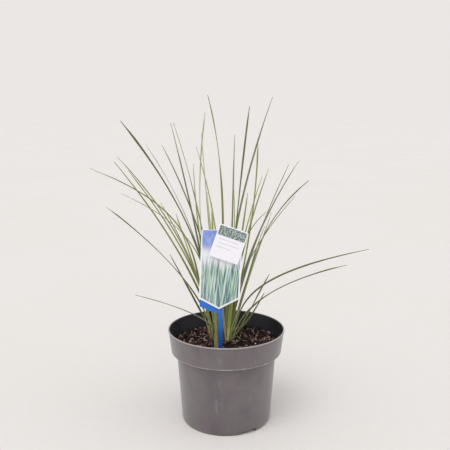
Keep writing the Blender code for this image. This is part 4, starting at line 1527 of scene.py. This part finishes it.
@dataclass
class Tuft:
    """The plant: its crown of leaf bases and its fifty strap leaves."""

    soil: SoilBed
    crown_half: tuple[float, float] = (29 * MM, 27 * MM)
    crown_rise: float = 8 * MM
    crown_depth: float = 14 * MM
    crown_lumps: tuple[tuple[float, float, float], ...] = ((3, 0.035, 0.8), (7, 0.03, 0.0))
    root_half: tuple[float, float] = (25 * MM, 23 * MM)
    root_spacing: float = 6.2 * MM
    root_passes: int = 200
    root_push: float = 0.25
    gap: float = 0.3 * MM
    points: int = 44
    thickness: float = 0.15
    channel: float = 0.6
    tip_width: float = 0.8 * MM
    sheath_share: float = 0.28
    old_leaf_count: int = 18

    @property
    def centre(self) -> Vector:
        """Return the middle of the crown, seen from above."""
        return Vector(self.soil.crown_centre)

    @property
    def crown_top(self) -> float:
        """Return the height that the leaves start from."""
        return self.soil.level + self.crown_rise

    def roots(self) -> list[Vector]:
        """Place one root for each leaf: upright leaves in the middle, leaning ones at the edge."""
        leans = []
        for row in LEAVES:
            away = row.tip.xy - self.centre
            leans.append((away.length / (row.tip.z - self.soil.level), math.atan2(away.y, away.x)))
        order = sorted(range(len(LEAVES)), key=lambda index: leans[index][0])
        roots = [Vector((0.0, 0.0))] * len(LEAVES)
        for rank, index in enumerate(order):
            reach = math.sqrt((rank + 0.5) / len(LEAVES))
            angle = leans[index][1]
            roots[index] = Vector((
                self.root_half[0] * reach * math.cos(angle),
                self.root_half[1] * reach * math.sin(angle),
            ))
        for _ in range(self.root_passes):
            roots = self.spread(roots)
        return [root + self.centre for root in roots]

    def spread(self, roots: list[Vector]) -> list[Vector]:
        """Push roots that stand too close apart, and keep each one inside the crown.

        Args:
            roots: Roots about the crown's middle.

        Returns:
            The moved roots.
        """
        moved = []
        for index, root in enumerate(roots):
            shift = Vector((0.0, 0.0))
            for other_index, other in enumerate(roots):
                apart = root - other
                if other_index != index and apart.length < self.root_spacing:
                    shift += apart.normalized() * (self.root_spacing - apart.length) * self.root_push
            placed = root + shift
            reach = math.hypot(placed.x / self.root_half[0], placed.y / self.root_half[1])
            moved.append(placed / max(1.0, reach))
        return moved

    def centre_line(self, root: Vector, row: LeafRow, share: float) -> Vector:
        """Return the point of a leaf's middle line at a share of its climb."""
        start = Vector((root.x, root.y, self.crown_top + self.gap))
        climb = row.tip - start
        reach = share ** row.rise
        bulge = 4 * share * (1 - share) * row.sway * MM
        return start + Vector((climb.x * reach + bulge, climb.y * reach, climb.z * share))

    def blade_width(self, row: LeafRow, share: float) -> float:
        """Return how wide a leaf is at a share of its climb.

        Args:
            row: The leaf's sizes.
            share: Share of its climb, 0 at the root and 1 at the tip.

        Returns:
            The width in metres.
        """
        stations = ((0.0, 0.38), (0.09, 0.5), (0.3, 0.96), (0.6, row.slim[0]), (0.8, row.slim[1]),
                    (0.93, row.slim[2]), (1.0, 0.0))
        for (low, start), (high, end) in zip(stations, stations[1:]):
            if share <= high:
                break
        wide = start + (end - start) * smoothstep(low, high, share)
        return self.tip_width + (row.width * MM - self.tip_width) * wide

    def leaf_line(self, root: Vector, row: LeafRow, tone: float) -> list[tuple[Vector, Vector, float, float]]:
        """Return the line that a leaf is swept along.

        Args:
            root: Where the leaf leaves the crown, seen from above.
            row: The leaf's sizes.
            tone: The leaf's own number from 0 to 1, which sets its small twists.

        Returns:
            Rows for Guide.add_line.
        """
        outward = (row.tip.xy - root).normalized()
        base_side = Vector((-outward.y, outward.x, 0.0))
        turn = math.radians(row.facing)
        top_side = Vector((math.cos(turn), math.sin(turn), 0.0))
        if base_side.dot(top_side) < 0:
            base_side.negate()
        line = []
        for index in range(-2, self.points + 1):
            share = max(0.0, index / self.points)
            point = self.centre_line(root, row, share)
            ahead = self.centre_line(root, row, min(1.0, share + 0.01))
            behind = self.centre_line(root, row, max(0.0, share - 0.01))
            along = (ahead - behind).normalized() if index > 0 else Vector((0.0, 0.0, 1.0))
            side = base_side.lerp(top_side, smoothstep(0.0, 0.5, share))
            twist = math.radians(9) * math.sin(5.0 * share + 9.0 * tone) * share
            twist += math.radians(row.roll) * smoothstep(0.0, 0.5, share)
            side = Matrix.Rotation(twist, 3, along) @ (side - along * side.dot(along)).normalized()
            width = self.blade_width(row, share)
            if index < 0:
                point = point + Vector((0.0, 0.0, index * 4 * MM))
            line.append((point, side, width / 2, share))
        return line

    def build_leaves(self) -> list[bpy.types.Object]:
        """Build the fifty leaves, each in place of its solid.

        Returns:
            The leaves' pieces.
        """
        dice = random.Random(5)
        finishes = {tone: finish.material() for tone, finish in BLADES.items()}
        pieces = []
        for number, (root, row) in enumerate(zip(self.roots(), LEAVES), start=1):
            guide = Guide.empty()
            tone = dice.random()
            guide.add_line(self.leaf_line(root, row, tone), tone)
            mesh = run_tree(TREES.strap, guide.mesh(), {
                "Thickness": self.thickness, "Channel": self.channel, "Sides": 14,
                "Material": finishes[row.tone],
            })
            pieces.append(add_piece(f"strap_leaf_{number:02d}", mesh, "leaf", f"leaf_{number:02d}"))
        return pieces

    def build_near_leaves(self) -> list[bpy.types.Object]:
        """Build the short leaves at the front of the tuft, by and behind the stake.

        Returns:
            The leaves' pieces.
        """
        dice = random.Random(43)
        pieces = []
        for row in NEAR_LEAVES:
            guide = Guide.empty()
            tone = dice.uniform(0.0, 0.3)
            guide.add_line(row.line(tone), tone)
            mesh = run_tree(TREES.strap, guide.mesh(), {
                "Thickness": self.thickness, "Channel": self.channel, "Sides": 14,
                "Material": row.finish.material(),
            })
            pieces.append(add_piece(row.name, mesh, "leaf"))
        return pieces

    def build_crown(self) -> bpy.types.Object:
        """Build the matted clump that the leaves come out of.

        Returns:
            The crown's piece.
        """
        builder = bmesh.new()
        rows = [(-self.crown_depth + self.gap, 0.97), (-self.crown_depth / 2, 1.0), (0.0, 1.0)]
        rows += [(self.crown_rise * rise, share) for rise, share in (
            (0.3, 0.99), (0.55, 0.96), (0.75, 0.9), (0.88, 0.8), (0.95, 0.66), (1.0, 0.5), (1.02, 0.33), (1.0, 0.16),
        )]
        rings = []
        for rise, share in rows:
            ring = []
            for index in range(120):
                angle = index * math.tau / 120
                lump = 1 + sum(depth * math.sin(waves * angle + phase) for waves, depth, phase in self.crown_lumps)
                x = self.crown_half[0] * lump * share * math.cos(angle)
                y = self.crown_half[1] * lump * share * math.sin(angle)
                z = self.soil.level + rise
                rough = noise.fractal(Vector((x * 260, y * 260, z * 90)), 0.8, 2.0, 3)
                push = 1 + 0.05 * rough
                lift = 1.6 * MM * rough if rise > 0 else 0.0
                ring.append(Vector((self.centre.x + x * push, self.centre.y + y * push, z + lift)))
            rings.append(ring)
        skin(builder, rings, poles=True)
        finish = FibreFinish("crown_fibre", tint(20, 15, 12), tint(56, 43, 31), tint(112, 92, 64))
        mesh = mesh_from(builder, finish.material())
        mesh.shade_smooth()
        return add_piece("crown_clump", mesh, "crown", "crown")

    def build_sheaths(self) -> bpy.types.Object:
        """Wrap the foot of some leaves in the split, papery sheath of an older one.

        Returns:
            The sheaths' piece.
        """
        dice = random.Random(17)
        guide = Guide.empty()
        for root, row in zip(self.roots(), LEAVES):
            away = root - self.centre
            outward = Vector((away.x, away.y, 0.0))
            outward = outward.normalized() if outward.length > MM else Vector((0.0, -1.0, 0.0))
            height = dice.uniform(10, 34) * MM
            width = dice.uniform(4.0, 6.5) * MM
            lean = dice.uniform(0.0, 0.12)
            tone = dice.random()
            if tone > self.sheath_share:
                continue
            side = outward.cross(Vector((0.0, 0.0, 1.0)))
            line = []
            for index in range(-2, 15):
                share = max(0.0, index / 14)
                climb = height * share
                point = self.centre_line(root, row, climb / (row.tip.z - self.crown_top))
                point = point + outward * (0.9 * MM + lean * climb * share)
                if index < 0:
                    point = point + Vector((0.0, 0.0, index * 3 * MM))
                half = width / 2 * (1 - share ** 2.2) ** 0.8 + 0.25 * MM
                line.append((point, side, half, share))
            guide.add_line(line, tone / self.sheath_share)
        finish = BladeFinish(
            "leaf_sheath", tint(150, 100, 58), tint(182, 132, 76), tint(196, 168, 110), tint(176, 160, 96),
            tint(222, 204, 158), tint(120, 78, 46), tint(104, 76, 52), tint(96, 62, 38), 0.9, 0.5, 0.6,
        )
        mesh = run_tree(TREES.strap, guide.mesh(), {
            "Thickness": 0.09, "Channel": -0.5, "Sides": 12, "Material": finish.material(),
        })
        return add_piece("leaf_sheaths", mesh, "crown")

    def build_old_leaves(self) -> bpy.types.Object:
        """Add dry old leaves and stubs that arch out low around the crown.

        Returns:
            The old leaves' piece.
        """
        dice = random.Random(29)
        guide = Guide.empty()
        for index in range(self.old_leaf_count):
            angle = index * 2.399 + dice.uniform(-0.3, 0.3)
            reach = dice.uniform(0.72, 1.0)
            spot = self.centre + Vector((
                self.root_half[0] * reach * math.cos(angle), self.root_half[1] * reach * math.sin(angle),
            ))
            outward = Vector((math.cos(angle), math.sin(angle), 0.0))
            height = dice.uniform(8, 34) * MM
            spread = dice.uniform(3, 20) * MM
            droop = dice.uniform(0.0, 0.5) * height
            width = dice.uniform(1.2, 3.2) * MM
            curl = dice.uniform(-0.8, 0.8)
            line = []
            for step in range(17):
                share = step / 16
                out = spread * share ** 1.6
                climb = height * math.sin(share * math.pi * 0.55) - droop * share ** 3
                bend = 3 * MM * curl * share * share
                point = Vector((
                    spot.x + outward.x * out - outward.y * bend,
                    spot.y + outward.y * out + outward.x * bend,
                    self.crown_top - 6 * MM + climb,
                ))
                side = Matrix.Rotation(curl * share, 3, "Z") @ outward.cross(Vector((0.0, 0.0, 1.0)))
                half = width / 2 * (1 - share ** 3) ** 0.8 + 0.15 * MM
                line.append((point, side, half, share))
            guide.add_line(line, dice.random())
        finish = BladeFinish(
            "old_leaf", tint(96, 66, 42), tint(146, 106, 64), tint(176, 142, 92), tint(158, 126, 84),
            tint(206, 182, 136), tint(96, 66, 40), tint(70, 52, 40), tint(58, 42, 30), 0.9, 0.3, 0.7,
        )
        mesh = run_tree(TREES.strap, guide.mesh(), {
            "Thickness": 0.12, "Channel": 0.6, "Sides": 8, "Material": finish.material(),
        })
        return add_piece("old_leaves", mesh, "crown")


@dataclass
class PlantLabel:
    """The blue stake, the printed card with a pointed foot and the small tilted card."""

    foot: tuple[float, float] = (-11.5 * MM, -36 * MM)
    yaw: float = math.radians(8)
    soil_level: float = 156 * MM
    stake_width: float = 8 * MM
    stake_thickness: float = 1.4 * MM
    stake_depth: float = 60 * MM
    stake_point: float = 10 * MM
    flag_left: float = -40.9 * MM
    flag_corner_z: float = 246 * MM
    flag_foot_z: float = 229 * MM
    flag_lean: float = 8 * MM
    flag_top_z: float = 360 * MM
    card_width: float = 80 * MM
    card_side: float = 136 * MM
    card_point: float = 21 * MM
    card_thickness: float = 0.6 * MM
    card_foot: tuple[float, float] = (-3.2 * MM, 239 * MM)
    card_roll: float = math.radians(2.6)
    corner: float = 3 * MM
    borders: tuple[float, float] = (3.6 * MM, 0.9 * MM)
    price_width: float = 59.5 * MM
    price_height: float = 65 * MM
    price_centre: tuple[float, float] = (15.9 * MM, 368.4 * MM)
    price_roll: float = math.radians(20.6)
    price_tilt: float = math.radians(4)
    price_borders: tuple[float, float] = (1.9 * MM, 1.9 * MM)
    gap: float = 0.3 * MM

    def place(self, back: float = 0.0) -> Matrix:
        """Return the frame of the label: X across it, Z up, moved back along its own Y."""
        turn = Matrix.Rotation(self.yaw, 4, "Z")
        foot = Matrix.Translation((self.foot[0], self.foot[1], 0.0))
        return foot @ turn @ Matrix.Translation((0.0, back, 0.0))

    def closed(self, corners: list[tuple[float, float, float]]) -> list[Vector]:
        """Return a closed outline with its corners rounded.

        Args:
            corners: Corners as x, z and radius, in order round the outline.

        Returns:
            The outline's points.
        """
        first, last = Vector(corners[0][:2]), Vector(corners[-1][:2])
        middle = (first + last) / 2
        loop = [(middle.x, middle.y, 0.0), *corners, (middle.x, middle.y, 0.0)]
        return [Vector(point) for point in round_corners(loop, 5)[:-1]]

    def inset(self, outline: list[Vector], depth: float) -> list[Vector]:
        """Return an outline moved inwards by a depth, for an outline that runs anticlockwise."""
        moved = []
        count = len(outline)
        for index, point in enumerate(outline):
            ahead = (outline[(index + 1) % count] - point).normalized()
            behind = (point - outline[index - 1]).normalized()
            normal = Vector((-ahead.y, ahead.x)) + Vector((-behind.y, behind.x))
            moved.append(point + normal.normalized() * depth / max(0.5, normal.length / 2))
        return moved

    def panel(self, corners: list[tuple[float, float, float]], borders: tuple[float, float]) -> list[Vector]:
        """Return the outline of the printed panel inside a plate's border.

        Args:
            corners: The plate's own corners, as for closed().
            borders: Width of the border at the sides and foot, and at the top.

        Returns:
            The panel's points, as many as the plate's outline has.
        """
        side, top = borders
        peak = max(corner[1] for corner in corners)
        rows = []
        for point, corner in zip(self.inset([Vector(corner[:2]) for corner in corners], side), corners):
            lift = side - top if corner[1] == peak else 0.0
            outward = math.copysign(lift * 0.6, point.x)
            rows.append((point.x + outward, point.y + lift, max(0.5 * MM, corner[2] - side + lift)))
        return self.closed(rows)

    def plate(self, corners: list[tuple[float, float, float]], thickness: float,
              borders: tuple[float, float], frame_of: Matrix, *materials: bpy.types.Material) -> bpy.types.Mesh:
        """Build a flat plate whose front has a border round a printed panel.

        Args:
            corners: Corners in the plate's XZ plane, anticlockwise seen from its front, as for closed().
            thickness: Thickness towards +Y.
            borders: Width of the border at the sides and foot, and at the top, or zeros for a plain front.
            frame_of: Where the plate goes.
            *materials: Material of the plate, then of the panel.

        Returns:
            The plate's mesh, with the map "print" over the panel's own extent.
        """
        builder = bmesh.new()
        outline = self.closed(corners)
        round_off = min(thickness * 0.3, 0.25 * MM)
        levels = (
            (self.inset(outline, round_off), 0.0), (outline, round_off),
            (outline, thickness - round_off), (self.inset(outline, round_off), thickness),
        )
        loops = [[builder.verts.new((p.x, y, p.y)) for p in ring] for ring, y in levels]
        count = len(outline)
        for lower, upper in zip(loops, loops[1:]):
            for index in range(count):
                after = (index + 1) % count
                builder.faces.new((lower[index], lower[after], upper[after], upper[index]))
        builder.faces.new(list(reversed(loops[-1])))
        if borders[0]:
            panel = [builder.verts.new((p.x, 0.0, p.y)) for p in self.panel(corners, borders)]
            for index in range(count):
                after = (index + 1) % count
                builder.faces.new((loops[0][index], loops[0][after], panel[after], panel[index]))
            builder.faces.new(panel).material_index = 1
        else:
            builder.faces.new(loops[0])
        low = Vector((min(p.x for p in outline), min(p.y for p in outline)))
        high = Vector((max(p.x for p in outline), max(p.y for p in outline)))
        layer = builder.loops.layers.uv.new("print")
        for face in builder.faces:
            for loop in face.loops:
                spot = loop.vert.co
                loop[layer].uv = ((spot.x - low.x) / (high.x - low.x), (spot.z - low.y) / (high.y - low.y))
        bmesh.ops.transform(builder, matrix=frame_of, verts=builder.verts)
        mesh = mesh_from(builder, *materials)
        return mesh

    def build(self) -> list[bpy.types.Object]:
        """Build and dress the stake and both cards.

        Returns:
            The label's pieces.
        """
        half = self.stake_width / 2
        point_z = self.soil_level - self.stake_depth
        stake = [
            (0.0, point_z, 0.5 * MM), (half, point_z + self.stake_point, 1 * MM),
            (half, self.flag_top_z, 1 * MM), (self.flag_left + self.flag_lean, self.flag_top_z, 1 * MM),
            (self.flag_left, self.flag_corner_z, 1 * MM), (-half, self.flag_foot_z, 1.5 * MM),
            (-half, point_z + self.stake_point, 1 * MM),
        ]
        blue = StakePlastic(soil_z=self.soil_level).material()
        white = PlainCard().material()
        stake_mesh = self.plate(stake, self.stake_thickness, (0.0, 0.0), self.place(), blue)
        wide = self.card_width / 2
        top = self.card_point + self.card_side
        card = [
            (0.0, 0.0, 1.5 * MM), (wide, self.card_point, 1.5 * MM), (wide, top, self.corner),
            (-wide, top, self.corner), (-wide, self.card_point, 1.5 * MM),
        ]
        card_back = -(self.card_thickness + self.gap)
        card_place = (
            self.place(card_back)
            @ Matrix.Translation((self.card_foot[0], 0.0, self.card_foot[1]))
            @ Matrix.Rotation(self.card_roll, 4, "Y")
        )
        card_mesh = self.plate(card, self.card_thickness, self.borders, card_place, white, PlantPrint().material())
        narrow, tall = self.price_width / 2, self.price_height / 2
        small = [
            (narrow, -tall, self.corner), (narrow, tall, self.corner),
            (-narrow, tall, self.corner), (-narrow, -tall, self.corner),
        ]
        lean = math.sin(self.price_tilt) * tall
        small_place = (
            self.place(card_back - self.card_thickness - self.gap - lean)
            @ Matrix.Translation((self.price_centre[0], 0.0, self.price_centre[1]))
            @ Matrix.Rotation(self.price_roll, 4, "Y")
            @ Matrix.Rotation(-self.price_tilt, 4, "X")
        )
        small_mesh = self.plate(
            small, self.card_thickness, self.price_borders, small_place, white, SmallPrint().material()
        )
        return [
            add_piece("label_stake_blue", stake_mesh, "stake", "label_stake"),
            add_piece("label_card_printed", card_mesh, "card", "label_card"),
            add_piece("label_card_small", small_mesh, "card", "price_card"),
        ]


@dataclass
class Studio:
    """Floor, light and camera."""

    floor_radius: float = 40.0
    camera_place: tuple[float, float, float] = (-0.0026, -1.2059, 0.609)
    camera_pitch: float = math.radians(80.13)
    lens: float = 49.85
    sensor: float = 36.0
    horizon: Colour = (0.82, 0.798, 0.784, 1.0)
    zenith: Colour = (0.56, 0.56, 0.565, 1.0)
    front: Colour = (0.34, 0.335, 0.335, 1.0)
    backdrop: Colour = tint(235, 231, 228)

    def build_floor(self) -> bpy.types.Object:
        """Build the floor that the pot stands on."""
        builder = bmesh.new()
        ring = [builder.verts.new(point) for point in circle(self.floor_radius, 0.0, 128)]
        builder.faces.new(ring)
        mesh = mesh_from(builder, StudioFloor().material())
        floor = bpy.data.objects.new("studio_floor", mesh)
        bpy.context.scene.collection.objects.link(floor)
        return floor

    def build_light(self, name: str, direction: Vector, strength: float, spread: float) -> None:
        """Add one large, distant soft light.

        Args:
            name: Name of the light.
            direction: Direction from the object to the light.
            strength: Light that it throws on a surface facing it.
            spread: How wide it looks from the object, in degrees.
        """
        lamp = bpy.data.lights.new(name, "SUN")
        lamp.energy = strength
        lamp.angle = math.radians(spread)
        holder = bpy.data.objects.new(name, lamp)
        holder.rotation_euler = (-direction).to_track_quat("-Z", "Y").to_euler()
        bpy.context.scene.collection.objects.link(holder)

    def build_sky(self) -> None:
        """Light the room softly, as bright behind the object as the floor is and dimmer in front."""
        world = bpy.data.worlds.new("soft_sky")
        world.use_nodes = True
        board = Board(world.node_tree)
        direction = board.node("ShaderNodeTexCoord").outputs["Generated"]
        parts = board.node("ShaderNodeSeparateXYZ", {0: direction})
        around = board.mix(board.rise(parts.outputs[1], -0.8, 0.0), self.front, self.horizon)
        sky = board.mix(board.rise(parts.outputs[2], 0.1, 0.9), around, self.zenith)
        seen = board.node("ShaderNodeLightPath").outputs["Is Camera Ray"]
        board.feed(world.node_tree.nodes["Background"], "Color", board.mix(seen, sky, self.backdrop))
        bpy.context.scene.world = world

    def build_camera(self) -> None:
        """Place the camera where the photograph was taken from."""
        camera = bpy.data.cameras.new("camera")
        camera.lens = self.lens
        camera.sensor_width = self.sensor
        holder = bpy.data.objects.new("camera", camera)
        holder.location = self.camera_place
        holder.rotation_euler = (self.camera_pitch, 0.0, 0.0)
        bpy.context.scene.collection.objects.link(holder)
        bpy.context.scene.camera = holder

    def build(self) -> None:
        """Build the floor, the sky, the lights and the camera."""
        bpy.context.scene.view_settings.view_transform = "Standard"
        self.build_floor()
        self.build_sky()
        self.build_light("key", Vector((-0.5, -0.75, 1.4)), 0.95, 34.0)
        self.build_light("front", Vector((0.12, -1.0, 0.5)), 0.65, 55.0)
        self.build_light("left", Vector((-0.95, -0.4, 0.5)), 0.28, 50.0)
        self.build_light("right", Vector((0.95, -0.3, 0.7)), 0.4, 55.0)
        self.build_camera()


def main() -> None:
    """Build every sub-assembly in order."""
    logging.basicConfig(level=logging.INFO, format="%(name)s: %(message)s")
    Studio().build()
    pot = Pot()
    pot.build()
    soil = SoilBed(pot)
    soil.build_bed()
    soil.build_litter()
    tuft = Tuft(soil)
    tuft.build_crown()
    tuft.build_leaves()
    tuft.build_near_leaves()
    tuft.build_sheaths()
    tuft.build_old_leaves()
    PlantLabel().build()


if __name__ == "__main__":
    main()
